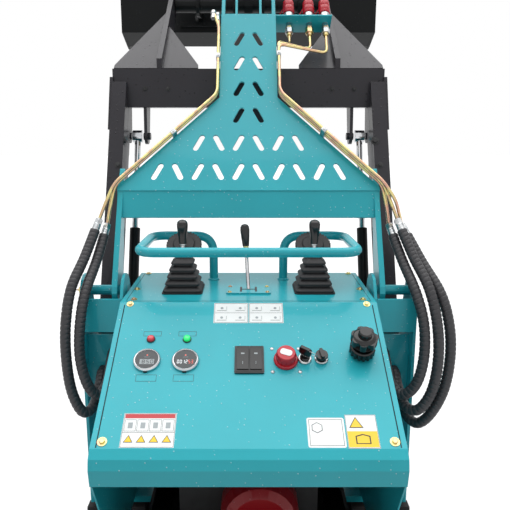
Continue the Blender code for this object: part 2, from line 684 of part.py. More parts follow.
def make_panel_controls():
    # Each control with its finish
    made = {}
    for name, across in GAUGES:
        profile = [(0, 0.008), (GAUGE_RADIUS - 0.005, 0.008), (GAUGE_RADIUS - 0.004, 0.010),
                   (GAUGE_RADIUS - 0.001, 0.009), (GAUGE_RADIUS, 0), (0, 0)]
        made[name] = turned(profile, panel_frame(across, GAUGE_DOWN, GAP), 28), "plastic"
    rockers = [panel_plate(SWITCH_X + shift, 0.0145, 0.034, 0.002, 0.014) for shift in (-0.0165, 0.0165)]
    made["switch_block"] = fused([panel_plate(SWITCH_X, 0.037, 0.042, 0, 0.006), *rockers]), "plastic"
    made["battery_switch"] = turned([(0, 0.034), (0.012, 0.034), (0.014, 0.012), (0.026, 0.010), (0.028, 0), (0, 0)],
                                    panel_frame(BATTERY_X, SWITCH_DOWN, GAP), 24), "red_paint"
    for name, across in KEYS:
        made[name] = turned([(0, 0.024), (0.014, 0.022), (0.015, 0.008), (0.016, 0), (0, 0)],
                            panel_frame(across, KEY_DOWN, GAP), 20), "plastic"
    foot = panel_frame(THROTTLE_X, THROTTLE_DOWN, GAP)
    collar = knurled(THROTTLE_RADIUS - 0.001, 0.03, 12, foot)
    neck = turned([(0, 0.05), (0.012, 0.05), (0.012, 0.02), (0, 0.02)], foot, 16)
    head = knurled(THROTTLE_RADIUS, 0.022, 7, foot @ Matrix.Translation((0, 0, 0.045)))
    cap = turned([(0, 0.022), (0.016, 0.020), (0.017, -0.004), (0, -0.004)],
                 foot @ Matrix.Translation((0, 0, 0.065)), 16)
    made["throttle_knob"] = fused([collar, neck, head, cap]), "plastic"
    return made


def arm_frame():
    # The cover plate's frame: X across, Y up the plate, Z out of its upper face
    up = Vector((0, COVER_TOP[0] - COVER_BASE[0], COVER_TOP[1] - COVER_BASE[1])).normalized()
    out = Vector((0, -up.z, up.y))
    turn = Matrix((Vector((1, 0, 0)), up, out)).transposed().to_4x4()
    return Matrix.Translation((0, *COVER_BASE)) @ turn


def slot_outline(across, along, lean, width, length):
    # A slot with round ends, leaning to one side
    half, radius, steps = (length - width) / 2, width / 2, 4
    points = []
    for end, start in ((1, 0.0), (-1, pi)):
        for k in range(steps + 1):
            angle = start + pi * k / steps
            points.append((radius * cos(angle), end * half + radius * sin(angle)))
    return [(across + x * cos(lean) - y * sin(lean), along + x * sin(lean) + y * cos(lean)) for x, y in points]


def cover_outlines():
    length = hypot(COVER_TOP[0] - COVER_BASE[0], COVER_TOP[1] - COVER_BASE[1])
    outer = [(-COVER_HALF, 0), (COVER_HALF, 0), (COVER_HALF, 0.012), (COVER_NECK, COVER_NECK_AT), (COVER_NECK, length),
             (-COVER_NECK, length), (-COVER_NECK, COVER_NECK_AT), (-COVER_HALF, 0.012)]
    slots = []
    for row, pairs in enumerate(SLOT_ROWS):
        for pair in range(pairs):
            centre = (pair - (pairs - 1) / 2) * SLOT_PITCH
            for side in (-1, 1):
                slots.append(slot_outline(centre + side * SLOT_PITCH / 4, SLOT_FIRST + row * SLOT_ROW, side * SLOT_LEAN,
                                          SLOT_WIDTH, SLOT_LENGTH))
    return [outer, *slots]


def make_upper_arm():
    frame = arm_frame()
    length = hypot(COVER_TOP[0] - COVER_BASE[0], COVER_TOP[1] - COVER_BASE[1])
    cover = plate(cover_outlines(), frame @ Matrix.Translation((0, 0, -COVER_THICK / 2)), COVER_THICK)
    up = (frame.col[1].y, frame.col[1].z)
    foot = (COVER_BASE[0] - 0.265 * FLANGE, COVER_BASE[1] - 0.964 * FLANGE)
    flange_top = (COVER_BASE[0] + 0.0028, COVER_BASE[1] + 0.0005)
    flange = side_plate(thick_line([flange_top, foot], 0.010), (-COVER_HALF + WELD, COVER_HALF - WELD))
    pieces = [cover, flange]
    for side, _ in SIDES:
        outline = wrapped((*UPPER_PIVOT, 0.045), (foot[0] + 0.002, foot[1], 0),
                          (COVER_BASE[0] + 0.004, COVER_BASE[1], 0),
                          (COVER_BASE[0] + up[0] * 0.08 + 0.004, COVER_BASE[1] + up[1] * 0.08 - 0.003, 0))
        pieces.append(side_plate(outline, sided(side, *LINK_PLATE), [(UPPER_PIVOT, UPPER_PIN + PIN_PLAY)]))
        for across, start in ((RAIL, 0.30), (RIB, length - 0.035)):
            sink = 0.002
            low = (COVER_BASE[0] + up[0] * start + sink * up[1], COVER_BASE[1] + up[1] * start - sink * up[0])
            high = (COVER_TOP[0] + sink * up[1], COVER_TOP[1] - sink * up[0])
            depth = 0.028
            rail = [low, high, (HEAD_TOP[0] - 0.028, HEAD_TOP[1] + 0.014), (HEAD_TOP[0], HEAD_TOP[1] + 0.032),
                    (HEAD_TOP[0] + 0.028, HEAD_TOP[1] + 0.016), (HEAD_TOP[0] + 0.030, HEAD_TOP[1] - 0.018),
                    (HEAD_TOP[0] + 0.006, HEAD_TOP[1] - 0.032),
                    (high[0] + depth * up[1] + 0.01, high[1] - depth * up[0] + 0.012),
                    (low[0] + depth * up[1], low[1] - depth * up[0])]
            pieces.append(side_plate(rail, sided(side, *across), [(HEAD_TOP, HEAD_TOP_PIN + PIN_PLAY)]))
    for along in (0.328, length - 0.030):
        tie = plate([[(-RAIL[1] + 0.002, along - 0.004), (RAIL[1] - 0.002, along - 0.004),
                      (RAIL[1] - 0.002, along + 0.004), (-RAIL[1] + 0.002, along + 0.004)]],
                    frame @ Matrix.Translation((0, 0, -0.014)), 0.020)
        pieces.append(tie)
    return fused(pieces, solver="MANIFOLD")


def make_coupler_bracket():
    # A plate across the top of the neck, with three quick couplers through it
    length = hypot(COVER_TOP[0] - COVER_BASE[0], COVER_TOP[1] - COVER_BASE[1])
    frame = arm_frame() @ Matrix.Translation((0, length - 0.006, 0))
    left = COVER_NECK + GAP
    bracket = plate([[(left, -BRACKET_DEPTH), (BRACKET_END, -BRACKET_DEPTH), (BRACKET_END, 0), (left, 0)]],
                    frame @ Matrix.Rotation(pi / 2, 4, "X"), BRACKET_PLATE)
    pieces = [bracket]
    for across in COUPLER_X:
        place = frame @ Matrix.Translation((across, 0, -BRACKET_DEPTH / 2)) @ Matrix.Rotation(-pi / 2, 4, "X")
        profile = [(0, 0.105), (0.019, 0.103), (0.021, 0.06), (0.018, 0.058), (0.017, 0.010), (0.020, 0.008),
                   (0.020, 0), (0.0105, 0), (0.0105, -0.018), (0.0155, -0.020), (0.0155, -0.048), (0, -0.048)]
        pieces.append(turned(profile, place, 12))
    return fused(pieces)


def make_steel_tubes(side, count):
    # Bent steel tubes down one edge of the cover, held together by clamps and ending in hose fittings
    frame = arm_frame()
    length = hypot(COVER_TOP[0] - COVER_BASE[0], COVER_TOP[1] - COVER_BASE[1])
    clear = TUBE_RADIUS + 0.002
    pieces = []
    for k in range(count):
        depth = TUBE_RADIUS + 0.001 + TUBE_DROP * k
        route = []
        if side > 0:
            across, bend = COUPLER_X[k], length - 0.105 - 0.017 * k
            route += [(across, length - 0.0562, -BRACKET_DEPTH / 2), (across, bend, -BRACKET_DEPTH / 2)]
        else:
            across, bend = COVER_NECK + 0.012 + 0.014 * k, length - 0.05
            route += [(across, length - 0.01, depth)]
        route += [(COVER_NECK + clear, bend - 0.02, depth), (COVER_NECK + clear, COVER_NECK_AT + 0.004, depth),
                  (COVER_HALF + clear, 0.016, depth), (COVER_HALF + clear + 0.006 + 0.012 * k, -0.045, depth - 0.004)]
        world = [frame @ Vector((side * x, y, z)) for x, y, z in route]
        pieces.append(tube(rounded_route(world, 0.022), TUBE_RADIUS, 1))
        end, way = world[-1], (world[-1] - world[-2]).normalized()
        face, back = hose_start(side, k)
        pieces.append(bar(end - way * 0.012, face + back * 0.024, FITTING_RADIUS - 0.001, 8))
        pieces.append(bar(face + back * 0.034, face, FITTING_RADIUS, 6))
    high = TUBE_DROP * (count - 1) + 2 * TUBE_RADIUS + 0.003
    for along in (0.50, 0.198):
        edge, lean = COVER_NECK, 0.0
        if along < COVER_NECK_AT:
            lean = (COVER_HALF - COVER_NECK) / (COVER_NECK_AT - 0.012)
            edge += lean * (COVER_NECK_AT - along)
        outline = [(side * (edge + across - end * lean * 0.012), along + end * 0.012)
                   for across, end in ((-0.012, -1), (0.017, -1), (0.017, 1), (-0.012, 1))]
        pieces.append(plate([outline if side > 0 else outline[::-1]],
                            frame @ Matrix.Translation((0, 0, (high + GAP) / 2)), high - GAP))
    return fused(pieces)


def hose_start(side, k):
    # The face of a fitting, just short of the hose it feeds, and the way back from it
    names = ("hose_right_1", "hose_right_2", "hose_right_3") if side > 0 else ("hose_left_1", "hose_left_2")
    route = HOSE_ROUTES[names[k]]
    start, following = Vector(route[0]), Vector(route[1])
    back = (start - following).normalized()
    return start + back * GAP, back


def make_lift_arm():
    corner = ((BEAM[0] + BEAM[1]) / 2, (BEAM[2] + BEAM[3]) / 2)
    pieces = [box((-ARM_OUT, BEAM[0], BEAM[2]), (ARM_OUT, BEAM[1], BEAM[3]))]
    run = Vector((corner[0] - 0.02 - LIFT_PIVOT[0], corner[1] - LIFT_PIVOT[1])).normalized()
    across = Vector((-run.y, run.x)) * ARM_DEPTH / 2
    top = Vector((corner[0] - 0.02, corner[1]))
    for side, _ in SIDES:
        x_range = sided(side, ARM_IN, ARM_OUT - 0.0005)
        beam = wrapped((*LIFT_PIVOT, ARM_DEPTH / 2), (*(top + across), 0), (*(top - across), 0))
        pieces.append(side_plate(beam, x_range, [(LIFT_PIVOT, LIFT_PIN + PIN_PLAY)]))
        doubler = wrapped((BEAM[0] - 0.008, BEAM[3] - 0.028, 0), (BEAM[0] - 0.075, BEAM[2] - 0.075, 0),
                          (BEAM[0] + 0.055, BEAM[2] - 0.085, 0), (BEAM[1] - 0.012, BEAM[2] + 0.03, 0),
                          (BEAM[1] - 0.012, BEAM[3] - 0.028, 0))
        pieces.append(side_plate(doubler, sided(side, ARM_OUT - 0.003, ARM_OUT + 0.008)))
        ear = wrapped((*CYLINDER_PIN, 0.028), (BEAM[0] + 0.01, BEAM[2] + 0.003, 0),
                      (BEAM[1] - 0.01, BEAM[2] + 0.003, 0))
        pieces.append(side_plate(ear, sided(side, CYLINDER_X - 0.038, CYLINDER_X - 0.027)))
        eye = (CYLINDER_X - EYE_HALF - EYE_PLAY, CYLINDER_X + EYE_HALF + EYE_PLAY)
        for inner, outer in ((CYLINDER_X - 0.046, eye[0]), (eye[1], ARM_IN + 0.01)):
            pieces.append(cross_bar(CYLINDER_PIN, CYLINDER_PIN_RADIUS, sided(side, inner, outer), 16))
        pieces.append(side_plate(wrapped((*CYLINDER_PIN, 0.024), (BEAM[0] - 0.04, BEAM[2] - 0.09, 0),
                                         (BEAM[0] + 0.01, BEAM[2] + 0.003, 0), (BEAM[1] - 0.03, BEAM[2] + 0.003, 0)),
                                 sided(side, ARM_IN - 0.0002, ARM_IN + 0.012)))
        neck = wrapped((*HEAD_PIVOT, 0.045), (BEAM[0] + 0.012, BEAM[3] - 0.004, 0),
                       (BEAM[0] + 0.012, BEAM[3] + 0.035, 0), (BEAM[1] - 0.004, BEAM[2] + 0.02, 0))
        pieces.append(side_plate(neck, sided(side, NECK_IN, NECK_OUT), [(HEAD_PIVOT, HEAD_STUB + PIN_PLAY)]))
        pieces.append(make_gusset(side, NECK_OUT - 0.002, ARM_OUT - 0.004, 0.40))
        pieces.append(make_gusset(side, NECK_IN + 0.002, 0.175, 0.29))
    pieces.append(box((-0.08, BEAM[0] + 0.015, BEAM[2] - 0.085), (0.08, BEAM[1] - 0.015, BEAM[2] + 0.002)))
    return fused(pieces)


def make_gusset(side, near, far, reach):
    # A flat triangle from the cross-beam's top edge along the gooseneck plate
    up = Vector((0, HEAD_PIVOT[0] - BEAM[0] - 0.02, HEAD_PIVOT[1] + 0.03 - BEAM[3])).normalized()
    out = Vector((0, -up.z, up.y))
    frame = Matrix.Translation((0, BEAM[0] + 0.012, BEAM[3] - 0.004)) @ \
        Matrix((Vector((1, 0, 0)), up, out)).transposed().to_4x4()
    outline = [(side * near, 0), (side * far, 0), (side * far, 0.02), (side * (near * 0.96 + far * 0.04), reach),
               (side * near, reach)]
    return plate([outline], frame @ Matrix.Translation((0, 0, 0.003)), 0.010)


def make_head():
    pieces = [cross_bar(HEAD_PIVOT, HEAD_TUBE, (-NECK_IN + 0.003, NECK_IN - 0.003), 24)]
    pieces.append(cross_bar(HEAD_PIVOT, HEAD_STUB, (-NECK_OUT - 0.006, NECK_OUT + 0.006)))
    pieces.append(cross_bar(HEAD_TOP, HEAD_TOP_PIN, (-RAIL[1] - 0.008, RAIL[1] + 0.008), 16))
    for side, _ in SIDES:
        cheek = wrapped((*HEAD_PIVOT, 0.052), (*HEAD_TOP, 0.030))
        pieces.append(side_plate(cheek, sided(side, *HEAD_PLATE)))
        ear = wrapped((*HEAD_PIVOT, 0.045), (*BUCKET_PIVOT, 0.032))
        pieces.append(side_plate(ear, sided(side, *HEAD_EAR)))
        pieces.append(cross_bar(BUCKET_PIVOT, BUCKET_PIN, sided(side, HEAD_EAR[0] - 0.004, ATTACH_EAR[1] + 0.008), 16))
    return fused(pieces)


def make_quick_attach():
    face = BUCKET_BACK - GAP
    pieces = [box((-ATTACH_HALF, face - ATTACH_PLATE, ATTACH_LOW), (ATTACH_HALF, face, ATTACH_HIGH))]
    window = box((-0.12, face - 0.1, 2.10), (0.12, face + 0.1, 2.28))
    for side, _ in SIDES:
        ear = wrapped((*BUCKET_PIVOT, 0.030), (face - 0.002, ATTACH_LOW + 0.005, 0),
                      (face - 0.002, ATTACH_LOW + 0.16, 0))
        pieces.append(side_plate(ear, sided(side, *ATTACH_EAR), [(BUCKET_PIVOT, BUCKET_PIN + PIN_PLAY)]))
        top = wrapped((*TILT_EYE, TILT_EAR_RADIUS), (face - 0.002, TILT_EYE[1] - 0.085, 0),
                      (face - 0.002, ATTACH_HIGH - 0.002, 0))
        pieces.append(side_plate(top, sided(side, *TILT_EAR)))
        pieces.append(cross_bar(TILT_EYE, TILT_PIN, sided(side, EYE_HALF + EYE_PLAY, TILT_EAR[1] + 0.002), 16))
    for z in (ATTACH_LOW, ATTACH_HIGH - 0.02):
        pieces.append(box((-ATTACH_HALF + 0.001, face - 0.032, z + 0.001), (-0.06, face - 0.001, z + 0.018)))
        pieces.append(box((0.06, face - 0.032, z + 0.001), (ATTACH_HALF - 0.001, face - 0.001, z + 0.018)))
    return fused(pieces, [window])


def make_bucket():
    line = [(BUCKET_BACK, BUCKET_TOP), (BUCKET_BACK, BUCKET_CREASE), BUCKET_HEEL, BUCKET_LIP]
    shell = side_plate(thick_line(line, BUCKET_PLATE), (-BUCKET_HALF + 0.002, BUCKET_HALF - 0.002))
    pieces = [shell]
    cheek = [(BUCKET_BACK, BUCKET_TOP), (BUCKET_BACK, BUCKET_CREASE), (BUCKET_HEEL[0] - 0.004, BUCKET_HEEL[1]),
             (BUCKET_HEEL[0] + 0.03, BUCKET_HEEL[1] - 0.010), (BUCKET_HEEL[0] + 0.08, BUCKET_HEEL[1] + 0.009),
             BUCKET_LIP, (BUCKET_LIP[0] - 0.06, BUCKET_LIP[1] + 0.09), (BUCKET_LIP[0] - 0.24, BUCKET_LIP[1] + 0.30),
             (BUCKET_BACK + 0.11, BUCKET_TOP)]
    for side, _ in SIDES:
        pieces.append(side_plate(cheek, sided(side, BUCKET_HALF - 0.010, BUCKET_HALF)))
    pieces.append(box((-BUCKET_HALF + 0.004, BUCKET_BACK + 0.002, BUCKET_TOP - 0.05),
                      (BUCKET_HALF - 0.004, BUCKET_BACK + 0.06, BUCKET_TOP - 0.002)))
    slope = Vector((BUCKET_LIP[0] - BUCKET_HEEL[0], BUCKET_LIP[1] - BUCKET_HEEL[1])).normalized()
    edge_back = (BUCKET_LIP[0] - 0.09 * slope.x, BUCKET_LIP[1] - 0.09 * slope.y)
    edge_tip = (BUCKET_LIP[0] + 0.03 * slope.x, BUCKET_LIP[1] + 0.03 * slope.y)
    pieces.append(side_plate(thick_line([edge_back, edge_tip], 0.014), (-BUCKET_HALF + 0.001, BUCKET_HALF - 0.001)))
    return fused(pieces)


def along_cylinder(start, end, x):
    # A frame at a cylinder's base eye with its Z towards the rod's eye
    way = Vector((0, end[0] - start[0], end[1] - start[1])).normalized()
    side_way = Vector((1, 0, 0))
    turn = Matrix((side_way, way.cross(side_way), way)).transposed().to_4x4()
    return Matrix.Translation((x, *start)) @ turn


def make_barrel(start, end, x, radius, bore, length, bore_from, eye_radius, eye_hole, half):
    frame = along_cylinder(start, end, x)
    barrel = bar(frame @ Vector((0, 0, eye_radius * 0.7)), frame @ Vector((0, 0, length)), radius, 20)
    hollow = bar(frame @ Vector((0, 0, bore_from)), frame @ Vector((0, 0, length + 0.05)), bore, 20)
    eye = cross_bar(start, eye_radius, (x - half, x + half), 24)
    hole = cross_bar(start, eye_hole, (x - half - 0.01, x + half + 0.01), 24)
    return fused([eye, barrel], [hole, hollow])


def make_rod(start, end, x, radius, rod_from, eye_radius, half):
    frame = along_cylinder(start, end, x)
    length = hypot(end[0] - start[0], end[1] - start[1])
    rod = bar(frame @ Vector((0, 0, rod_from)), frame @ Vector((0, 0, length - eye_radius * 0.5)), radius, 16)
    return fused([rod, cross_bar(end, eye_radius, (x - half, x + half), 20)])


def make_engine_parts():
    top, to_side = ENGINE_HIGH[2] + GAP, Matrix.Rotation(pi / 2, 4, "Y")
    block = box(ENGINE_LOW, ENGINE_HIGH)
    shroud = turned([(0, SHROUD_DEPTH), (SHROUD_RADIUS - 0.03, SHROUD_DEPTH),
                     (SHROUD_RADIUS - 0.01, SHROUD_DEPTH - 0.015), (SHROUD_RADIUS, SHROUD_DEPTH / 2),
                     (SHROUD_RADIUS, 0), (0, 0)],
                    Matrix.Translation((SHROUD_AT[0], ENGINE_LOW[1] - GAP, SHROUD_AT[1]))
                    @ Matrix.Rotation(pi / 2, 4, "X"), 24)
    cleaner = turned(capped(CLEANER_RADIUS, CLEANER_HALF, 0.015, 0.010),
                     Matrix.Translation((*CLEANER_AT, top + CLEANER_RADIUS)) @ to_side, 24)
    muffler = turned(capped(MUFFLER_RADIUS, MUFFLER_HALF, 0.015, 0.015),
                     Matrix.Translation((*MUFFLER_AT, top + MUFFLER_RADIUS)) @ to_side, 20)
    return block, shroud, cleaner, muffler


def capped(radius, half, inset, bevel):
    # The profile of a can with bevelled ends
    end = [(0, half), (radius - inset, half), (radius, half - bevel)]
    return end + [(r, -z) for r, z in end[::-1]]


def build():
    clear_scene()
    bpy.context.scene.collection.children.link(machine)
    paint = {name: material(name, finish) for name, finish in (
        ("teal_paint", TEAL), ("dark_paint", DARK_PAINT), ("black_paint", BLACK_PAINT), ("plastic", BLACK_PLASTIC),
        ("rubber", RUBBER), ("chrome", CHROME), ("zinc", ZINC), ("cast_iron", CAST), ("red_paint", RED))}

    root = pivot("machine", (0, 0, 0), None)
    lift = pivot("lift_pivot", (0, *LIFT_PIVOT), root)
    upper = pivot("upper_pivot", (0, *UPPER_PIVOT), root)
    head = pivot("head_pivot", (0, *HEAD_PIVOT), lift)
    tilt = pivot("bucket_pivot", (0, *BUCKET_PIVOT), head)
    step = pivot("platform_pivot", (0, *PLATFORM_PIVOT), root)
    tilt_cylinder = pivot("tilt_cylinder_pivot", (0, *HEAD_PIVOT), head)

    keep(make_chassis(), "chassis_frame", paint["black_paint"], root)
    for side, label in SIDES:
        keep(make_track(side), "track_" + label, paint["rubber"], root)
        keep(make_track_frame(side), "track_frame_" + label, paint["black_paint"], root)
        keep(make_sprocket(side), "sprocket_" + label, paint["cast_iron"], root)
        keep(make_idler(side), "idler_" + label, paint["cast_iron"], root)
        keep(make_tower(side), "tower_" + label, paint["teal_paint"], root)
        keep(make_joystick(side), "joystick_" + label, paint["plastic"], root)
    keep(make_console(), "console_shell", paint["teal_paint"], root)
    keep(make_front_body(), "front_body", paint["teal_paint"], root)
    keep(make_handrail(), "handrail", paint["teal_paint"], root)
    keep(make_centre_lever(), "centre_lever", paint["plastic"], root)
    for name, (piece, finish) in make_panel_controls().items():
        keep(piece, name, paint[finish], root)
    for name, piece, finish in zip(("engine_block", "engine_shroud", "air_cleaner", "muffler"), make_engine_parts(),
                                   ("cast_iron", "red_paint", "plastic", "black_paint")):
        keep(piece, name, paint[finish], root)
    keep(make_platform(), "rear_platform", paint["black_paint"], step)

    keep(make_lift_arm(), "lift_arm", paint["dark_paint"], lift)
    keep(make_upper_arm(), "upper_arm", paint["teal_paint"], upper)
    keep(make_coupler_bracket(), "coupler_bracket", paint["teal_paint"], upper)
    keep(make_steel_tubes(1, 3), "steel_tubes_right", paint["zinc"], upper)
    keep(make_steel_tubes(-1, 2), "steel_tubes_left", paint["zinc"], upper)
    keep(make_head(), "levelling_head", paint["black_paint"], head)
    keep(make_quick_attach(), "quick_attach", paint["black_paint"], tilt)
    keep(make_bucket(), "bucket", paint["black_paint"], tilt)

    for side, label in SIDES:
        base = pivot("lift_cylinder_pivot_" + label, (0, *CYLINDER_BASE), root)
        x = side * CYLINDER_X
        barrel = make_barrel(CYLINDER_BASE, CYLINDER_PIN, x, LIFT_BARREL_RADIUS, LIFT_ROD_RADIUS + PIN_PLAY,
                             LIFT_BARREL_LENGTH, 0.045, 0.024, CYLINDER_PIN_RADIUS + PIN_PLAY, EYE_HALF)
        keep(barrel, "lift_barrel_" + label, paint["black_paint"], base)
        rod = make_rod(CYLINDER_BASE, CYLINDER_PIN, x, LIFT_ROD_RADIUS, LIFT_ROD_FROM, 0.022, EYE_HALF)
        keep(rod, "lift_rod_" + label, paint["chrome"], base)
    barrel = make_barrel(HEAD_PIVOT, TILT_EYE, 0.0, TILT_BARREL_RADIUS, TILT_ROD_RADIUS + PIN_PLAY, TILT_BARREL_LENGTH,
                         0.062, 0.046, HEAD_TUBE + 2 * PIN_PLAY, EYE_HALF)
    keep(barrel, "tilt_barrel", paint["black_paint"], tilt_cylinder)
    rod = make_rod(HEAD_PIVOT, TILT_EYE, 0.0, TILT_ROD_RADIUS, TILT_ROD_FROM, 0.018, EYE_HALF)
    keep(rod, "tilt_rod", paint["chrome"], tilt_cylinder)

    for name, route in HOSE_ROUTES.items():
        port = (route[-1][0], PORT_Y - GAP, route[-1][2])
        keep(tube([*smooth_route(route, 2), port], HOSE_RADIUS), name, paint["rubber"], root)
    centre_on_ground(root)


def centre_on_ground(root):
    # The origin goes under the middle of the machine without its hoses
    bpy.context.view_layer.update()
    low, high = Vector((1e9,) * 3), Vector((-1e9,) * 3)
    for piece in machine.objects:
        if piece.type == "MESH" and not piece.name.startswith("hose_"):
            for corner in piece.bound_box:
                place = piece.matrix_world @ Vector(corner)
                low = Vector(map(min, low, place))
                high = Vector(map(max, high, place))
    root.location = (-(low.x + high.x) / 2, -(low.y + high.y) / 2, -low.z)


build()
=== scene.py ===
# Looks of the mini skid steer loader: enamel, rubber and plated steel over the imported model.
# Sizes are in mm, in the part's own frame: x to the right, y forward from the tracks' middle, z up.
from math import atan2, cos, pi, radians, sin

import bmesh
import bpy
from mathutils import Matrix, Vector


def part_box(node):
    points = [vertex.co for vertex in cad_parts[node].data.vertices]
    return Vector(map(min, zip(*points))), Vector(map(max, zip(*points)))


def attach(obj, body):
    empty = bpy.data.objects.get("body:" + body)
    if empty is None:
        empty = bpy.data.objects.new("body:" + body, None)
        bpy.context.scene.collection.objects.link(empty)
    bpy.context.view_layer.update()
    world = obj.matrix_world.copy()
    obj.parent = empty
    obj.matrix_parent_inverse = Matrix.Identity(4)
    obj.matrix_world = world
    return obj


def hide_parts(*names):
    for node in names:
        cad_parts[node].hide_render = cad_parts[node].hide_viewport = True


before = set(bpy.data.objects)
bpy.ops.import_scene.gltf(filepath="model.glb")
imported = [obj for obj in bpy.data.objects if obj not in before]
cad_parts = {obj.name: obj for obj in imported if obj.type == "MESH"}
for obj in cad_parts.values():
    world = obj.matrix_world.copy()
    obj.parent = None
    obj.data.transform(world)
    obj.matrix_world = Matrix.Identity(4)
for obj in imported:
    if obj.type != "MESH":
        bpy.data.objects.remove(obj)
scene = bpy.context.scene
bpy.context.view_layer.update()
mm = 0.001
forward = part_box("console_shell")[1].y      # the deck's front edge is at y 0 in the part's own frame


def point(x, y, z):
    # A point of the part's frame in the scene, in metres
    return Vector((x * mm, y * mm + forward, z * mm))


def linear(hexCode):
    # An sRGB hex colour as the linear one that shaders take
    values = [int(hexCode[k:k + 2], 16) / 255 for k in (1, 3, 5)]
    return (*[v / 12.92 if v <= 0.04045 else ((v + 0.055) / 1.055) ** 2.4 for v in values], 1.0)


def addNode(tree, kind, inputs=None, **settings):
    # Adds one node, with its settings and with values or links on its inputs
    node = tree.nodes.new("ShaderNode" + kind)
    for name, value in settings.items():
        setattr(node, name, value)
    for name, value in (inputs or {}).items():
        if isinstance(value, bpy.types.Node):
            value = value.outputs[0]
        if isinstance(value, bpy.types.NodeSocket):
            tree.links.new(value, node.inputs[name])
        else:
            node.inputs[name].default_value = value
    return node


def addObject(name, data):
    added = bpy.data.objects.new(name, data)
    scene.collection.objects.link(added)
    return added


def newMaterial(name, **values):
    # A material with values set on its shader's own sockets
    material = bpy.data.materials.new(name)
    material.use_nodes = True
    shader = material.node_tree.nodes["Principled BSDF"]
    for key, value in values.items():
        socket = shader.inputs[key.replace("_", " ")]
        socket.default_value = linear(value) if isinstance(value, str) else value
    return material, material.node_tree, shader


print("camera, floor and light")
view = {"height": 1600, "back": -1935, "pitch": 12.0, "focal": 600.0, "picture": 510.0,
        "middle": (248.5, 252.5), "sensor": 36.0}


def addCamera():
    data = bpy.data.cameras.new("camera")
    picture, (middleX, middleY) = view["picture"], view["middle"]
    data.sensor_width = view["sensor"]
    data.lens = view["focal"] / picture * view["sensor"]
    data.shift_x = (picture / 2 - middleX) / picture
    data.shift_y = (middleY - picture / 2) / picture
    data.clip_start, data.clip_end = 0.05, 60
    camera = addObject("camera", data)
    camera.location = point(0, view["back"], view["height"])
    camera.rotation_euler = (radians(90 - view["pitch"]), 0, 0)
    scene.camera = camera


studio = {"floorSize": 60000, "floorColour": "#A8A8A8", "floorLift": 0.64, "floorDrop": 1,
          "skyColour": "#FBFDFF", "sky": 0.03, "skyTop": 1.1, "skyStart": -0.2,
          "lamps": (("overhead", 2.2, 75, (-14, 0, 0)), ("fill", 0.07, 60, (62, 0, 18)))}
# Each lamp has its name, its strength, and its spread and turn in degrees


def seenRay(tree):
    # 1 for what the eye, a mirror or glass sees, and 0 for light that falls on the object
    path = addNode(tree, "LightPath")
    seen = path.outputs["Is Camera Ray"]
    for kind in ("Is Glossy Ray", "Is Transmission Ray"):
        seen = addNode(tree, "Math", {0: seen, 1: path.outputs[kind]}, operation="MAXIMUM")
    return seen


def addStudio():
    scene.view_settings.view_transform = "Standard"
    world = scene.world or bpy.data.worlds.new("studio")
    scene.world = world
    world.use_nodes = True
    tree = world.node_tree
    tree.nodes.clear()
    coords = addNode(tree, "TexCoord")
    height = addNode(tree, "SeparateXYZ", {0: coords.outputs["Generated"]})
    level = addNode(tree, "MapRange",
                    {"Value": height.outputs[2], "From Min": studio["skyStart"], "From Max": 1.0,
                     "To Min": studio["sky"], "To Max": studio["skyTop"]})
    soft = addNode(tree, "Background", {"Color": linear(studio["skyColour"]), "Strength": level})
    white = addNode(tree, "Background", {"Color": (1, 1, 1, 1), "Strength": 1.0})
    mixed = addNode(tree, "MixShader", {0: seenRay(tree), 1: soft, 2: white})
    addNode(tree, "OutputWorld", {0: mixed})
    for name, strength, spread, turn in studio["lamps"]:
        data = bpy.data.lights.new(name, "SUN")
        data.energy = strength
        data.angle = radians(spread)
        addObject(name, data).rotation_euler = [radians(angle) for angle in turn]

    floorPlane = bpy.data.meshes.new("floor")
    shape = bmesh.new()
    bmesh.ops.create_grid(shape, x_segments=1, y_segments=1, size=studio["floorSize"] / 2 * mm)
    shape.to_mesh(floorPlane)
    shape.free()
    ground = addObject("floor", floorPlane)
    ground.location.z = -studio["floorDrop"] * mm
    material, tree, shader = newMaterial("paleFloor", Base_Color=studio["floorColour"], Roughness=1.0,
                                         Specular_IOR_Level=0.0)
    glow = addNode(tree, "Math", {0: seenRay(tree), 1: studio["floorLift"]}, operation="MULTIPLY")
    shader.inputs["Emission Color"].default_value = (1, 1, 1, 1)
    tree.links.new(glow.outputs[0], shader.inputs["Emission Strength"])
    ground.data.materials.append(material)


addCamera()
addStudio()

print("materials")


def unevenColour(tree, coords, hexCode, patch, vary):
    # One colour that drifts a little darker and lighter, in patches of the given size in mm
    cloud = addNode(tree, "TexNoise", {"Vector": coords, "Scale": 1 / (patch * mm), "Detail": 3.0})
    tone = addNode(tree, "MapRange", {"Value": cloud, "From Min": 0.3, "From Max": 0.7,
                                      "To Min": 1 - vary, "To Max": 1 + vary})
    return addNode(tree, "Mix", {0: 1.0, 6: linear(hexCode), 7: tone},
                   data_type="RGBA", blend_type="MULTIPLY").outputs[2]


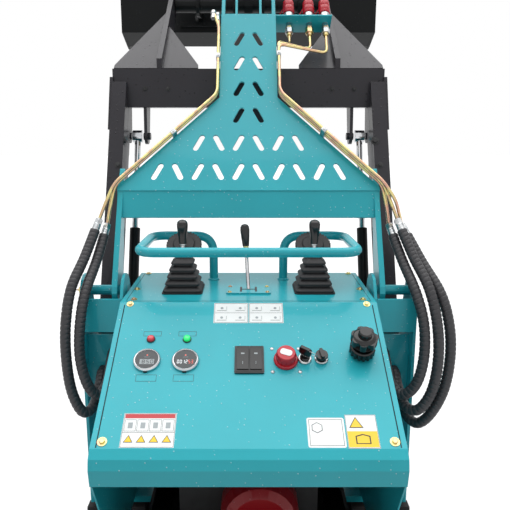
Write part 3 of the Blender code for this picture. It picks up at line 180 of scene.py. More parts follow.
def enamel(name, hexCode, finish):
    # Alkyd enamel sprayed on steel: a clear gloss, a fine orange peel and rain drops standing on it, tinted
    # with painted light: a painted highlight on the pale drops and painted shade on the dark ones
    material, tree, shader = newMaterial(name, Roughness=finish["roughness"], Coat_Weight=finish["coat"],
                                         Coat_Roughness=0.04, IOR=1.5, Specular_IOR_Level=finish["shine"])
    coords = addNode(tree, "TexCoord").outputs["Object"]
    paint = unevenColour(tree, coords, hexCode, finish["patch"], finish["vary"])
    drops = addNode(tree, "TexVoronoi", {"Vector": coords, "Scale": 1 / (finish["dropSpacing"] * mm)})
    some = addNode(tree, "SeparateColor", {0: drops.outputs["Color"]})
    chosen = addNode(tree, "Math", {0: some, 1: finish["dropShare"]}, operation="LESS_THAN")
    dome = addNode(tree, "MapRange", {"Value": drops.outputs["Distance"], "From Max": finish["dropSize"],
                    "To Min": 1.0, "To Max": 0.0}, interpolation_type="SMOOTHERSTEP")
    bead = addNode(tree, "Math", {0: dome, 1: chosen}, operation="MULTIPLY")
    # Painted light on the drops: each drop is tinted towards its finish's drop colour, a painted highlight on
    # teal, red and black enamel and painted shade on dark grey enamel
    dropPaintedLight = addNode(tree, "Math", {0: bead, 1: finish["dropPaintedLightStrength"]}, operation="MULTIPLY")
    paintWithDropLight = addNode(tree, "Mix", {0: dropPaintedLight, 6: paint, 7: linear(finish["dropPaintedLightColour"])}, data_type="RGBA")
    tree.links.new(paintWithDropLight.outputs[2], shader.inputs["Base Color"])
    # The peel's waves are about 2 mm long, and the sheet's edges are a little rounded
    edge = addNode(tree, "Bevel", {"Radius": finish["edge"] * mm}, samples=4)
    peel = addNode(tree, "TexNoise", {"Vector": coords, "Scale": 1 / (finish["peel"] * mm), "Detail": 1.0})
    waves = addNode(tree, "Bump", {"Strength": finish["peelDepth"], "Distance": 0.2 * mm,
                                   "Height": peel, "Normal": edge})
    beads = addNode(tree, "Bump", {"Strength": 0.9, "Distance": 1.2 * mm, "Height": bead, "Normal": waves})
    tree.links.new(beads.outputs[0], shader.inputs["Normal"])
    return material


# Patches, drops, edges and peel in mm; a drop's size is a share of the spacing
# The drop colours are painted light: the pale ones are a painted highlight, and the dark grey enamel's dark
# one is painted shade
enamelFinish = {"roughness": 0.34, "coat": 0.2, "shine": 0.3, "patch": 140, "vary": 0.035, "dropSpacing": 13,
                "dropShare": 0.5, "dropSize": 0.2, "dropPaintedLightStrength": 0.6, "dropPaintedLightColour": "#CFEFF2", "edge": 2.0,
                "peel": 2.2, "peelDepth": 0.10}
darkFinish = {**enamelFinish, "roughness": 0.36, "coat": 0.12, "shine": 0.25, "vary": 0.09,
              "dropPaintedLightColour": "#121214", "dropPaintedLightStrength": 0.95, "dropSize": 0.27, "dropSpacing": 15,
              "peelDepth": 0.18}
blackFinish = {**darkFinish, "roughness": 0.45, "coat": 0.03, "shine": 0.16, "dropPaintedLightColour": "#2A2E2F",
               "dropPaintedLightStrength": 0.5, "dropShare": 0.35, "peelDepth": 0.25}


def addRelief(tree, shader, height, strength, depth, edge):
    # A bump of the given depth over edges of the given radius, both in mm
    rounded = addNode(tree, "Bevel", {"Radius": edge * mm}, samples=4)
    bump = addNode(tree, "Bump", {"Strength": strength, "Distance": depth * mm, "Height": height,
                                  "Normal": rounded})
    tree.links.new(bump.outputs[0], shader.inputs["Normal"])


def moulded(name, hexCode, roughness, grain, depth, vary=0.08, edge=0.8, **values):
    # Moulded plastic, rubber or cast metal: a grain of the given size in mm, and slightly uneven colour
    material, tree, shader = newMaterial(name, Roughness=roughness, **values)
    coords = addNode(tree, "TexCoord").outputs["Object"]
    speckle = addNode(tree, "TexNoise", {"Vector": coords, "Scale": 1 / (grain * mm), "Detail": 4.0})
    tree.links.new(unevenColour(tree, coords, hexCode, grain * 30, vary), shader.inputs["Base Color"])
    uneven = addNode(tree, "MapRange", {"Value": speckle, "To Min": roughness * 0.85,
                                        "To Max": min(1.0, roughness * 1.15)})
    tree.links.new(uneven.outputs[0], shader.inputs["Roughness"])
    addRelief(tree, shader, speckle.outputs[0], depth, 0.4, edge)
    return material


def plated(name, hexCode, secondHex, roughness, patch, edge=0.8):
    # Plated steel: two tints that drift over the part as a passivated film does, and fine drawing scratches
    material, tree, shader = newMaterial(name, Metallic=1.0, Roughness=roughness)
    coords = addNode(tree, "TexCoord").outputs["Object"]
    film = addNode(tree, "TexNoise", {"Vector": coords, "Scale": 1 / (patch * mm), "Detail": 3.0})
    share = addNode(tree, "MapRange", {"Value": film, "From Min": 0.42, "From Max": 0.58})
    colour = addNode(tree, "Mix", {0: share, 6: linear(hexCode), 7: linear(secondHex)}, data_type="RGBA")
    tree.links.new(colour.outputs[2], shader.inputs["Base Color"])
    fine = addNode(tree, "TexNoise", {"Vector": coords, "Scale": 1 / (1.2 * mm), "Detail": 5.0})
    uneven = addNode(tree, "MapRange", {"Value": fine, "To Min": roughness * 0.6, "To Max": roughness * 1.4})
    tree.links.new(uneven.outputs[0], shader.inputs["Roughness"])
    addRelief(tree, shader, fine.outputs[0], 0.06, 0.2, edge)
    return material


def glowingPiece(name, hexCode, glow):
    # A small moulded piece that glows in its own colour: a lens with a lamp behind it, and a painted glow on
    # the counter's figures, which no lamp lights
    return newMaterial(name, Base_Color=hexCode, Roughness=0.12, Coat_Weight=0.6, Emission_Color=hexCode,
                       Emission_Strength=glow)[0]


# Moulded ones have a colour, roughness, grain in mm, relief, unevenness and edge in mm; plated ones have two
# tints, roughness and the film's patches in mm
finishes = {
    "teal": enamel("tealEnamel", "#25ABB7", enamelFinish),
    "dark": enamel("darkGreyEnamel", "#302E33", darkFinish),
    "black": enamel("blackEnamel", "#0F1112", blackFinish),
    "redPaint": enamel("redEnamel", "#A3161F", {**enamelFinish, "dropPaintedLightColour": "#D98A8E"}),
    "track": moulded("trackRubber", "#1E1D1E", 0.82, 2.5, 0.5, 0.16, 2.5),
    "hose": moulded("spiralGuard", "#323134", 0.46, 0.9, 0.12, 0.1, 0.5),
    "boot": moulded("bootRubber", "#232224", 0.6, 1.1, 0.25, 0.12, 1.2),
    "plastic": moulded("blackNylon", "#1D1D1F", 0.38, 0.7, 0.1, 0.08, 0.7),
    "gloss": moulded("glossBlackPlastic", "#141415", 0.18, 0.7, 0.03, 0.05, 0.8),
    "iron": moulded("castIron", "#3A3A3B", 0.6, 1.6, 0.6, 0.14, 2.0, Metallic=0.5),
    "redPlastic": moulded("redNylon", "#B91327", 0.26, 0.8, 0.04, 0.06, 1.0),
    "chrome": plated("hardChrome", "#D5D6D8", "#BFC1C4", 0.12, 60, 0.6),
    "silver": plated("clearZinc", "#C9CBCB", "#A9ACAE", 0.28, 14),
    "zinc": plated("yellowZinc", "#DCCF8E", "#C7A486", 0.26, 26),
    "copper": plated("tintedZinc", "#CFA08A", "#D9C98C", 0.27, 60),
    "brass": plated("brass", "#C9A24E", "#B58F45", 0.3, 30),
    "label": moulded("whiteVinyl", "#E9ECEB", 0.3, 0.6, 0.02, 0.02, 0.2),
    "yellowLabel": moulded("yellowVinyl", "#F2C917", 0.3, 0.6, 0.02, 0.03, 0.2),
    "redLabel": moulded("redVinylLabel", "#C1272D", 0.3, 0.6, 0.02, 0.03, 0.2),
    "greyLabel": moulded("greyVinyl", "#9AA2A4", 0.35, 0.6, 0.02, 0.03, 0.2),
    "ink": moulded("blackInk", "#101213", 0.4, 0.6, 0.02, 0.03, 0.2),
    # Painted shade: the dark teal of the panel's gaps in shadow
    "paintedGapShade": moulded("gapShadowPainted", "#052A2D", 0.8, 0.6, 0.1, 0.05, 0.2),
    "dial": moulded("dialFace", "#33373A", 0.22, 0.6, 0.02, 0.03, 0.2),
    # Painted glow: the counter's white and red figures glow though no lamp lights them
    "digit": glowingPiece("whiteDigit", "#E8EDF0", 0.35),
    "redDigit": glowingPiece("redDigit", "#E2503C", 0.3),
    "redLens": glowingPiece("redLens", "#C81E2E", 0.15),
    "greenLens": glowingPiece("greenLens", "#08D46A", 0.55),
}


def addBlock(shape, size, place, finish=0, bevel=0.0, segments=2):
    # A block of the given size in mm, centred on its place, with its edges broken if asked
    scaled = place @ Matrix.Diagonal((*[s * mm for s in size], 1))
    made = bmesh.ops.create_cube(shape, size=1.0, matrix=scaled)
    faces = {face for vert in made["verts"] for face in vert.link_faces}
    for face in faces:
        face.material_index = finish
    if bevel:
        edges = list({edge for face in faces for edge in face.edges})
        bmesh.ops.bevel(shape, geom=edges, offset=bevel * mm, segments=segments, affect="EDGES", profile=0.5,
                        material=finish)


def addTurned(shape, profile, place, finish=0, steps=32):
    # A turned shape from (radius, height) points in mm, from the bottom up, closed over at both ends
    profile = [(0, profile[0][1]), *profile]
    if profile[-1][0]:
        profile.append((0, profile[-1][1]))
    rings = []
    for radius, height in profile:
        count = steps if radius else 1
        rings.append([shape.verts.new(place @ (Vector((radius * cos(2 * pi * k / steps),
                                                       radius * sin(2 * pi * k / steps), height)) * mm))
                      for k in range(count)])
    for low, high in zip(rings, rings[1:]):
        for k in range(steps):
            after = (k + 1) % steps
            corners = [low[k % len(low)], low[after % len(low)], high[after % len(high)], high[k % len(high)]]
            corners = list(dict.fromkeys(corners))
            if len(corners) > 2:
                shape.faces.new(corners).material_index = finish


def addDisc(shape, radius, low, high, place, finish=0, steps=32):
    # A plain round disc between two heights
    addTurned(shape, [(radius, low), (radius, high)], place, finish, steps)


def addSkin(shape, rings, finish=0):
    # Faces between rings that have as many points each, and over both ends
    rings = [[shape.verts.new(place) for place in ring] for ring in rings]
    faces = [rings[0][::-1], rings[-1]]
    for low, high in zip(rings, rings[1:]):
        for k in range(len(low)):
            after = (k + 1) % len(low)
            faces.append([low[k], low[after], high[after], high[k]])
    for corners in faces:
        shape.faces.new(corners).material_index = finish


def outlineAt(outline, height, place):
    # The outline's points in mm, at a height over a place
    return [place @ (Vector((x, y, height)) * mm) for x, y in outline]


def addPrism(shape, outline, low, high, place, finish=0):
    # An outline of (x, y) points, run anticlockwise, raised from one height to another
    addSkin(shape, [outlineAt(outline, height, place) for height in (low, high)], finish)


def roundedSquare(halfX, halfY, radius, steps=5):
    # An anticlockwise rectangle with rounded corners, as (x, y) points
    points = []
    for turn, cornerX, cornerY in ((0, 1, 1), (90, -1, 1), (180, -1, -1), (270, 1, -1)):
        for k in range(steps + 1):
            angle = radians(turn + 90 * k / steps)
            points.append((cornerX * (halfX - radius) + radius * cos(angle),
                           cornerY * (halfY - radius) + radius * sin(angle)))
    return points


def sections(line):
    # A frame at each point of a line in metres, turned as little as possible from one to the next
    frames = []
    across = None
    for k, place in enumerate(line):
        ahead = (line[min(k + 1, len(line) - 1)] - line[max(k - 1, 0)]).normalized()
        if across is None:
            across = ahead.orthogonal().normalized()
        across = (across - ahead * across.dot(ahead)).normalized()
        frames.append((place, across, ahead.cross(across)))
    return frames


def addTube(shape, line, radius, finish=0, sides=16, radiusAt=None):
    # A round tube of one radius in mm along a line in metres; radiusAt(run, angle) changes the radius
    rings, run = [], 0.0
    frames = sections(line)
    for k, (place, across, up) in enumerate(frames):
        run += (place - frames[k - 1][0]).length / mm if k else 0
        ring = []
        for side in range(sides):
            angle = 2 * pi * side / sides
            size = radiusAt(run, angle) if radiusAt else radius
            ring.append(place + (across * cos(angle) + up * sin(angle)) * size * mm)
        rings.append(ring)
    addSkin(shape, rings, finish)


def finished(name, shape, names, replaced=None, smooth=40, body="chassis"):
    # The built shape as a piece of the scene, with its finishes, riding on its body
    mesh = bpy.data.meshes.new(name)
    shape.to_mesh(mesh)
    shape.free()
    for finish in names.split():
        mesh.materials.append(finishes[finish])
    for face in mesh.polygons:
        face.use_smooth = True
    mesh.set_sharp_from_angle(angle=radians(smooth))
    piece = addObject(name, mesh)
    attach(piece, body)
    if replaced:
        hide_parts(replaced)
    return piece


def smoothLine(points, steps):
    # A smooth curve through the given points
    route = [Vector(p) for p in points]
    ends = [2 * route[0] - route[1], *route, 2 * route[-1] - route[-2]]
    line = []
    for a, b, c, d in zip(ends, ends[1:], ends[2:], ends[3:]):
        for k in range(steps):
            t = k / steps
            line.append(0.5 * (2 * b + (c - a) * t + (2 * a - 5 * b + 4 * c - d) * t ** 2
                               + (3 * b - a - 3 * c + d) * t ** 3))
    return [*line, route[-1]]


def bentLine(points, radius, steps=8):
    # Straight runs joined by bends of one radius in mm, as a pipe bender makes them
    route = [Vector(p) for p in points]
    line = [route[0]]
    for before, corner, after in zip(route, route[1:], route[2:]):
        back, on = (before - corner).normalized(), (after - corner).normalized()
        reach = min(radius * mm, (before - corner).length * 0.49, (after - corner).length * 0.49)
        start, end = corner + back * reach, corner + on * reach
        for k in range(steps + 1):
            t = k / steps
            line.append((1 - t) ** 2 * start + 2 * t * (1 - t) * corner + t ** 2 * end)
    return [*line, route[-1]]


def standing(place, ahead):
    # A frame at a place with its Z along a direction
    return Matrix.Translation(place) @ Vector(ahead).to_track_quat("Z", "Y").to_matrix().to_4x4()


def moved(place, x, y, z=0.0, turn=0):
    # A frame shifted in mm along its own axes, and then turned about its Z by degrees
    return place @ Matrix.Translation(Vector((x, y, z)) * mm) @ Matrix.Rotation(radians(turn), 4, "Z")


def facingSide(x, y, z, side):
    # A frame at a point with its Z pointing out to one side of the machine
    return standing(point(x, y, z), (side, 0, 0))


print("hoses")
hose = {"radius": 15, "guardPitch": 13, "grooveDepth": 1.9, "grooveShare": 0.2, "portY": -240, "gap": 0.3}
# The points of part.py's own routes, from the ferrule to the tower's port
hoseRoutes = {
    "hose_right_1": [
        (434, -160, 1275), (452, -222, 1208), (474, -300, 1135), (490, -338, 1055), (490, -356, 965),
        (470, -366, 890), (438, -350, 850), (411, -320, 872), (403, -292, 915), (402, -264, 940)],
    "hose_right_2": [
        (456, -178, 1293), (480, -238, 1222), (508, -305, 1150), (525, -343, 1060), (529, -360, 960),
        (514, -368, 868), (480, -366, 812), (450, -338, 810), (438, -302, 848), (436, -264, 880)],
    "hose_right_3": [
        (478, -160, 1275), (508, -222, 1208), (543, -300, 1135), (561, -336, 1055), (565.5, -350, 965),
        (552, -358, 872), (520, -360, 800), (488, -342, 758), (464, -304, 766), (460, -264, 800)],
    "hose_left_1": [
        (-434, -160, 1275), (-446, -222, 1208), (-462, -300, 1135), (-470, -340, 1055), (-470, -358, 965),
        (-452, -366, 890), (-428, -350, 850), (-409, -320, 872), (-403, -292, 915), (-402, -264, 940)],
    "hose_left_2": [
        (-456, -178, 1293), (-476, -238, 1222), (-499, -305, 1150), (-508, -345, 1060), (-508, -360, 960),
        (-496, -368, 868), (-470, -366, 806), (-448, -338, 806), (-438, -302, 846), (-436, -264, 880)],
}


def guardRadius(run, angle):
    # The guard is one wide band wound in a helix, with a groove between its turns
    turn = (run / hose["guardPitch"] - angle / (2 * pi)) % 1.0
    share = hose["grooveShare"]
    depth = sin(pi * turn / share) if turn < share else 0.14 * (1 - sin(pi * (turn - share) / (1 - share)))
    return hose["radius"] - hose["grooveDepth"] * depth


def addHoses():
    for name, route in hoseRoutes.items():
        start = [point(*p) for p in route]
        line = smoothLine(start, 8)
        port = point(route[-1][0], hose["portY"] - hose["gap"], route[-1][2])
        line += [line[-1].lerp(port, k / 3) for k in (1, 2, 3)]
        fine = smoothLine(line, 6)
        shape = bmesh.new()
        addTube(shape, fine, hose["radius"], 0, 16, guardRadius)
        piece = finished(name + "_guard", shape, "hose", name)


addHoses()

print("console")
panel = {"top": (-340, 1120), "foot": (-720, 895), "half": 355, "edge": 441, "gapShadeIn": 14,
         "gapShadeWidth": 2.6, "deckGapShade": -328, "deckBolts": ((329, -14), (322, -312), (332, -205)),
         "panelBolts": ((329, 424.5, 12), (326, 7, 10))}
# The deck's bolts are by x and y, the panel's by places across and down the slope, and size


def slopeFrame(sheet, start, across, along, lift):
    # A frame on a sloped sheet: X to the right, Y up the slope, Z out of it
    (footY, footZ), (topY, topZ), (y, z) = sheet["foot"], sheet["top"], sheet[start]
    up = Vector((0, topY - footY, topZ - footZ)).normalized()
    out = Vector((0, -up.z, up.y))
    place = point(across, y + up.y * along, z + up.z * along) + out * lift * mm
    return Matrix.Translation(place) @ Matrix((Vector((1, 0, 0)), up, out)).transposed().to_4x4()


def panelFrame(across, down, lift=0.0):
    return slopeFrame(panel, "top", across, -down, lift)


def deckFrame(x, y, lift=0.0):
    return Matrix.Translation(point(x, y, panel["top"][1] + lift))


def hexBolt(shape, place, across, finish=0, washer=1.5):
    # A washer and a hexagon head, chamfered as a forged head is
    addDisc(shape, across * 0.95, 0, washer, place, finish, 24)
    corner = across / 2 / cos(pi / 6)
    addTurned(shape, [(corner, 0), (corner, across * 0.30), (across * 0.46, across * 0.38)],
              moved(place, 0, 0, washer), finish, 6)


def addPaintedGapShadeAndBolts():
    # Painted shade: dark strips where the gaps beside the panel's side flanges and across the deck lie in
    # shadow
    shape = bmesh.new()
    middle = panel["half"] - panel["gapShadeIn"]
    for side in (-1, 1):
        addBlock(shape, (panel["gapShadeWidth"], panel["edge"] - 12, 0.5),
                 panelFrame(side * middle, panel["edge"] / 2 + 4, 0.2))
        addBlock(shape, (1.2, 300, 0.5), deckFrame(side * middle, -172, 0.2))
    addBlock(shape, (2 * middle, 1.6, 0.5), deckFrame(0, panel["deckGapShade"], 0.2))
    finished("panel_gap_painted_shade", shape, "paintedGapShade")

    shape = bmesh.new()
    for side in (-1, 1):
        for x, y in panel["deckBolts"]:
            hexBolt(shape, deckFrame(side * x, y), 10)
        for across, down, size in panel["panelBolts"]:
            hexBolt(shape, panelFrame(side * across, down), size)
    finished("panel_bolts", shape, "zinc", smooth=30)


labels = {"thick": 0.3, "line": 0.8, "captionLine": 0.9, "captionX": (-252, -160),
          "captions": ((112, 46, 15), (252, 50, 19)),        # down the panel, width, height
          "guideX": (-47.5, 47.5), "guideDown": 39, "guide": (93, 72), "guideMark": (25, 17),
          "signPlace": (-228, 395), "sign": (122, 88), "cells": 4, "cellPitch": 29,
          "platePlace": (177, 401), "cardPlace": (259, 398), "card": (72, 86)}
# Finishes of the labels, in the order of their piece's list
white, yellow, red, ink, grey = range(5)


def frameLine(shape, place, width, height, line, finish):
    # A thin printed frame on the paint
    for side in (-1, 1):
        addBlock(shape, (width + line, line, 0.2), moved(place, 0, side * height / 2, 0.1), finish)
        addBlock(shape, (line, height + line, 0.2), moved(place, side * width / 2, 0, 0.1), finish)


def addSheet(shape, place, size, inset):
    # A white label with a printed frame a little inside its edge
    width, height = size
    thick = labels["thick"]
    addBlock(shape, (width, height, thick), moved(place, 0, 0, thick / 2), white)
    frameLine(shape, moved(place, 0, 0, thick), width - 2 * inset, height - 2 * inset, labels["line"], ink)


def addMark(shape, place, sides, radius, share, height, finish):
    # A mark with equal sides in a dark border
    for size, low, high, tint in ((radius, 0, 0.2, ink), (radius * share, 0.2, height, finish)):
        turns = [pi / 2 + 2 * pi * k / sides for k in range(sides)]
        addPrism(shape, [(size * cos(a), size * sin(a)) for a in turns], low, high, place, tint)


def addLabels():
    # Printed frames and stickers with nothing written on them
    shape = bmesh.new()
    for across in labels["captionX"]:
        for down, width, height in labels["captions"]:
            frameLine(shape, panelFrame(across, down), width, height, labels["captionLine"], 0)
    finished("printed_frames", shape, "ink")

    shape = bmesh.new()
    # Two sheets with the plain shapes of levers on them
    for across in labels["guideX"]:
        sheet = panelFrame(across, labels["guideDown"])
        addSheet(shape, sheet, labels["guide"], 2)
        stepX, stepY = labels["guideMark"]
        for row in (-1, 1):
            for column in (-1, 1):
                spot = moved(sheet, column * stepX, row * stepY, 0.4)
                addDisc(shape, 4, 0, 0.2, spot, grey, 20)
                addBlock(shape, (26, 1.2, 0.2), moved(spot, 0, -9), ink)
                addBlock(shape, (1.2, 12, 0.2), moved(spot, 13, 0), grey)
        addBlock(shape, (86, 0.8, 0.2), moved(sheet, 0, 0, 0.4), ink)
    # The left sticker: a red strip over white squares over yellow triangles
    left = panelFrame(*labels["signPlace"])
    addSheet(shape, left, labels["sign"], 1.5)
    addBlock(shape, (116, 11, 0.2), moved(left, 0, 36, 0.4), red)
    addBlock(shape, (119, 0.8, 0.2), moved(left, 0, -6, 0.4), ink)
    for k in range(labels["cells"]):
        across = (k - (labels["cells"] - 1) / 2) * labels["cellPitch"]
        cell = moved(left, across, 12, 0.4)
        frameLine(shape, cell, 26, 29, 0.7, ink)
        addBlock(shape, (11, 15, 0.2), cell, grey)
        addMark(shape, moved(left, across, -25, 0.4), 3, 12.5, 0.78, 0.35, yellow)
    # The right stickers: a white plate with rounded corners, and a card half white and half yellow
    right = panelFrame(*labels["platePlace"])
    addPrism(shape, roundedSquare(43, 38, 5), 0, labels["thick"], right, white)
    frameLine(shape, moved(right, 0, 0, labels["thick"]), 76, 66, labels["captionLine"], ink)
    addMark(shape, moved(right, -20, 12, 0.35), 6, 14, 0.88, 0.3, white)
    card = panelFrame(*labels["cardPlace"])
    addSheet(shape, card, labels["card"], 1)
    addBlock(shape, (68, 40, 0.2), moved(card, 0, -20, 0.4), yellow)
    addMark(shape, moved(card, -12, 18, 0.4), 3, 19, 0.82, 0.35, yellow)
    book = moved(card, 0, -21, 0.4)
    addPrism(shape, [(-17, -11), (17, -11), (17, 9), (0, 14), (-17, 9)], 0.2, 0.3, book, ink)
    addPrism(shape, [(-14, -9), (14, -9), (14, 7), (0, 11), (-14, 7)], 0.3, 0.4, book, yellow)
    finished("blank_labels", shape, "label yellowLabel redLabel ink greyLabel")


lamps = {"down": 131, "places": ((-254, 1), (-160, 2))}      # across the panel, and the lens's finish


def addLamps():
    shape = bmesh.new()
    for across, lens in lamps["places"]:
        place = panelFrame(across, lamps["down"])
        addTurned(shape, [(11.5, 0), (11.5, 1.6), (9.6, 3.0), (9.4, 2.0)], place, 0)
        addTurned(shape, [(9.2, 2), (9.2, 7.5), (7.6, 9.4), (4.2, 10.4), (0, 10.8)], place, lens)
    finished("warning_lamps", shape, "plastic redLens greenLens")


gauge = {"down": 200, "bezel": 34, "face": 28.5, "proud": 9.5, "faceZ": 6.4,
         "dials": (("gauge_left", -256, "850", 10.5, 3, 1.6), ("gauge_right", -159, "001253", 7.0, 0, 1.2))}
# Each dial has its node, its place across, its figures, their pitch and shift, and their line's width
segments = {"0": "abcdef", "1": "bc", "2": "abged", "3": "abgcd", "5": "afgcd", "8": "abcdefg"}


def addDigit(shape, text, place, width, height, line, finish):
    # A seven-segment figure on a counter
    halfX, halfY = width / 2, height / 2
    spots = {"a": (0, halfY, 0), "g": (0, 0, 0), "d": (0, -halfY, 0), "b": (halfX, halfY / 2, 90),
             "c": (halfX, -halfY / 2, 90), "e": (-halfX, -halfY / 2, 90), "f": (-halfX, halfY / 2, 90)}
    for letter in segments[text]:
        x, y, turn = spots[letter]
        length = (halfY if turn else width) - line * 0.6
        addBlock(shape, (length, line, 0.2), moved(place, x, y, 0, turn), finish)


def addGauges():
    bezel, face, proud, faceZ = gauge["bezel"], gauge["face"], gauge["proud"], gauge["faceZ"]
    for name, across, figures, pitch, shift, line in gauge["dials"]:
        shape = bmesh.new()
        place = panelFrame(across, gauge["down"])
        addTurned(shape, [(bezel, 0.3), (bezel + 0.8, 2), (bezel + 0.6, 5.5), (bezel - 1.2, 8.6),
                          (bezel - 3.2, proud), (face + 0.8, proud - 0.6), (face, faceZ)], place, 0, 48)
        addDisc(shape, face, faceZ, faceZ + 0.3, place, 1, 48)
        dial = moved(place, 0, 0, faceZ + 0.4)
        window = len(figures) == 3
        for k, figure in enumerate(figures):
            # Dark figures on a pale window, or white ones with the last two red
            tint = 5 if window else 3 if k > 3 else 2
            spot = moved(dial, (k - (len(figures) - 1) / 2) * pitch + shift, -7)
            addDigit(shape, figure, spot, pitch * 0.56, 10, line, tint)
        addBlock(shape, (13, 0.9, 0.2), moved(dial, 0, 7), 4)
        if window:
            addBlock(shape, (36, 15, 0.1), moved(dial, 1, -7, -0.05), 4)
        addDisc(shape, 2, 0, 0.2, moved(dial, 0, 13), 3, 16)
        addBlock(shape, (10, 3.2, 5), moved(place, 0, -(bezel + 1), 2.6), 5, 0.8)
        finished(name + "_dial", shape, "chrome dial digit redDigit greyLabel plastic", name)


rockers = {"across": 2, "down": 198, "apart": 16.6, "frame": (37, 42), "halfWidth": 14.8}


def addRockers():
    # A pair of rockers in one frame, each waisted in the middle and marked with a plain bar
    shape = bmesh.new()
    place = panelFrame(rockers["across"], rockers["down"], 0.3)
    halfX, halfY = rockers["frame"]
    addPrism(shape, roundedSquare(halfX, halfY, 3), 0, 4.5, place, 0)
    addPrism(shape, roundedSquare(halfX - 3, halfY - 3, 2.5), 4.5, 5.6, place, 0)
    profile = [(-33, 5.4), (33, 5.4), (33, 15.0), (20, 11.4), (0, 9.8), (-20, 8.6), (-33, 8.4)]
    for side in (-1, 1):
        rocker = moved(place, side * rockers["apart"], 0)
        flank = rocker @ Matrix(((0, 0, 1, 0), (1, 0, 0, 0), (0, 1, 0, 0), (0, 0, 0, 1)))
        addPrism(shape, profile, -rockers["halfWidth"], rockers["halfWidth"], flank, 1)
        addBlock(shape, (9, 4.5, 0.4), moved(rocker, 0, 13, 11.1), 2)
        addBlock(shape, (1.0, 9, 0.4), moved(rocker, 0, -14, 9.4), 2)
    finished("rocker_switches", shape, "plastic gloss greyLabel", "switch_block", 30)


battery = {"across": 94, "down": 198, "screws": (34, 36), "ribs": 12, "ribRadius": 24.8}


def addBatteryKnob():
    # A ribbed drum on a round base, with a white patch on top that is a painted highlight, and a screw beyond
    # each corner
    shape = bmesh.new()
    place = panelFrame(battery["across"], battery["down"], 0.3)
    addTurned(shape, [(30.5, 0), (31, 2), (30, 7), (28, 9)], place, 0, 48)
    addTurned(shape, [(25, 9), (24.5, 28), (22, 32), (0, 33)], place, 0, 48)
    # Painted highlight: a white patch in the labels' vinyl on the drum's top
    addPrism(shape, roundedSquare(15, 9, 7), 32.6, 33.6, moved(place, 0, 0, 0, -20), 1)
    for k in range(battery["ribs"]):
        rib = moved(moved(place, 0, 0, 0, 360 * k / battery["ribs"]), battery["ribRadius"], 0, 19)
        addBlock(shape, (1.8, 2.6, 14), rib, 0, 0.5)
    screwX, screwY = battery["screws"]
    for x in (-screwX, screwX):
        for y in (-screwY, screwY):
            addTurned(shape, [(4.6, 0), (4.6, 1.0), (3, 2.2), (0, 2.5)], moved(place, x, y), 2, 20)
    finished("battery_knob", shape, "redPlastic label silver", "battery_switch", 35)


keys = {"down": 194, "start": 142, "startTurn": -32, "lamp": 184, "lampTurn": 12, "ring": 12}


def addKeySeat(across):
    # The barrel of a key switch and its ring
    shape = bmesh.new()
    place = panelFrame(across, keys["down"], 0.3)
    addTurned(shape, [(17.5, 0), (17.5, 3), (15.5, 5), (13.2, 5.4), (12.6, 4)], place, 1, 40)
    addTurned(shape, [(12.2, 4), (12.2, 10), (10.6, 12)], place, 0, 36)
    return shape, place


def addKeys():
    # A key with a ring through its head, and a knob with a ridge
    shape, place = addKeySeat(keys["start"])
    turned = moved(place, 0, 0, 0, keys["startTurn"])
    blade = turned @ Matrix(((1, 0, 0, 0), (0, 0, -1, 0), (0, 1, 0, 0), (0, 0, 0, 1)))
    addBlock(shape, (8, 2, 12), moved(turned, 0, 0, 17), 1)
    addPrism(shape, roundedSquare(16, 12.5, 7), -4, 4, moved(blade, 0, 31), 0)
    size = keys["ring"]
    ring = [blade @ (Vector((9 + size * (1 - cos(a)), 33 + size * sin(a), 5 * sin(a))) * mm)
            for a in [2 * pi * k / 28 for k in range(29)]]
    addTube(shape, ring, 0.9, 1, 8)
    finished("start_switch_key", shape, "gloss silver", "start_switch", 35)

    shape, place = addKeySeat(keys["lamp"])
    turned = moved(place, 0, 0, 0, keys["lampTurn"])
    addTurned(shape, [(15.5, 12), (16.5, 14), (15.5, 19), (0, 20)], turned, 0, 40)
    addPrism(shape, roundedSquare(4.6, 14, 3.8), 19, 27, turned, 0)
    finished("lamp_switch_key", shape, "gloss silver", "lamp_switch", 35)


throttle = {"across": 288, "down": 176, "nut": 32.5, "nutLobes": 16, "grip": 34, "gripLobes": 7}


def lobed(radius, depth, lobes, steps=96):
    # A knob's round outline with a number of soft lobes
    outline = []
    for k in range(steps):
        angle = 2 * pi * k / steps
        size = radius - depth * (0.5 - 0.5 * cos(lobes * angle)) ** 2
        outline.append((size * cos(angle), size * sin(angle)))
    return outline


def addThrottle():
    # A push-pull knob: its lock nut, a lobed nut, the lobed grip and the button on its top
    shape = bmesh.new()
    place = panelFrame(throttle["across"], throttle["down"], 0.3)
    addTurned(shape, [(19, 0), (19, 5), (16, 7)], place, 1, 6)
    addPrism(shape, lobed(throttle["nut"], 4.2, throttle["nutLobes"], 160), 7, 27, place, 0)
    addTurned(shape, [(31, 27), (28, 30), (14, 31), (12, 33), (12, 46)], place, 0, 40)
    addPrism(shape, lobed(throttle["grip"], 6.5, throttle["gripLobes"]), 46, 66, place, 0)
    addTurned(shape, [(29, 66), (25, 69.5), (17.5, 71), (17, 84), (14.5, 87.5), (0, 88)], place, 0, 40)
    addTurned(shape, [(29, 45.9), (33, 47.5), (0, 47.6)], place, 0, 40)
    finished("throttle_handle", shape, "gloss brass", "throttle_knob", 30)


boot = {"base": 56, "top": 30, "folds": 5, "pitch": 19.5, "corner": 10,
        "plateAhead": 34, "plateUp": 128, "plateLean": 35, "teeth": 32, "toothRoot": 50, "toothTip": 53}


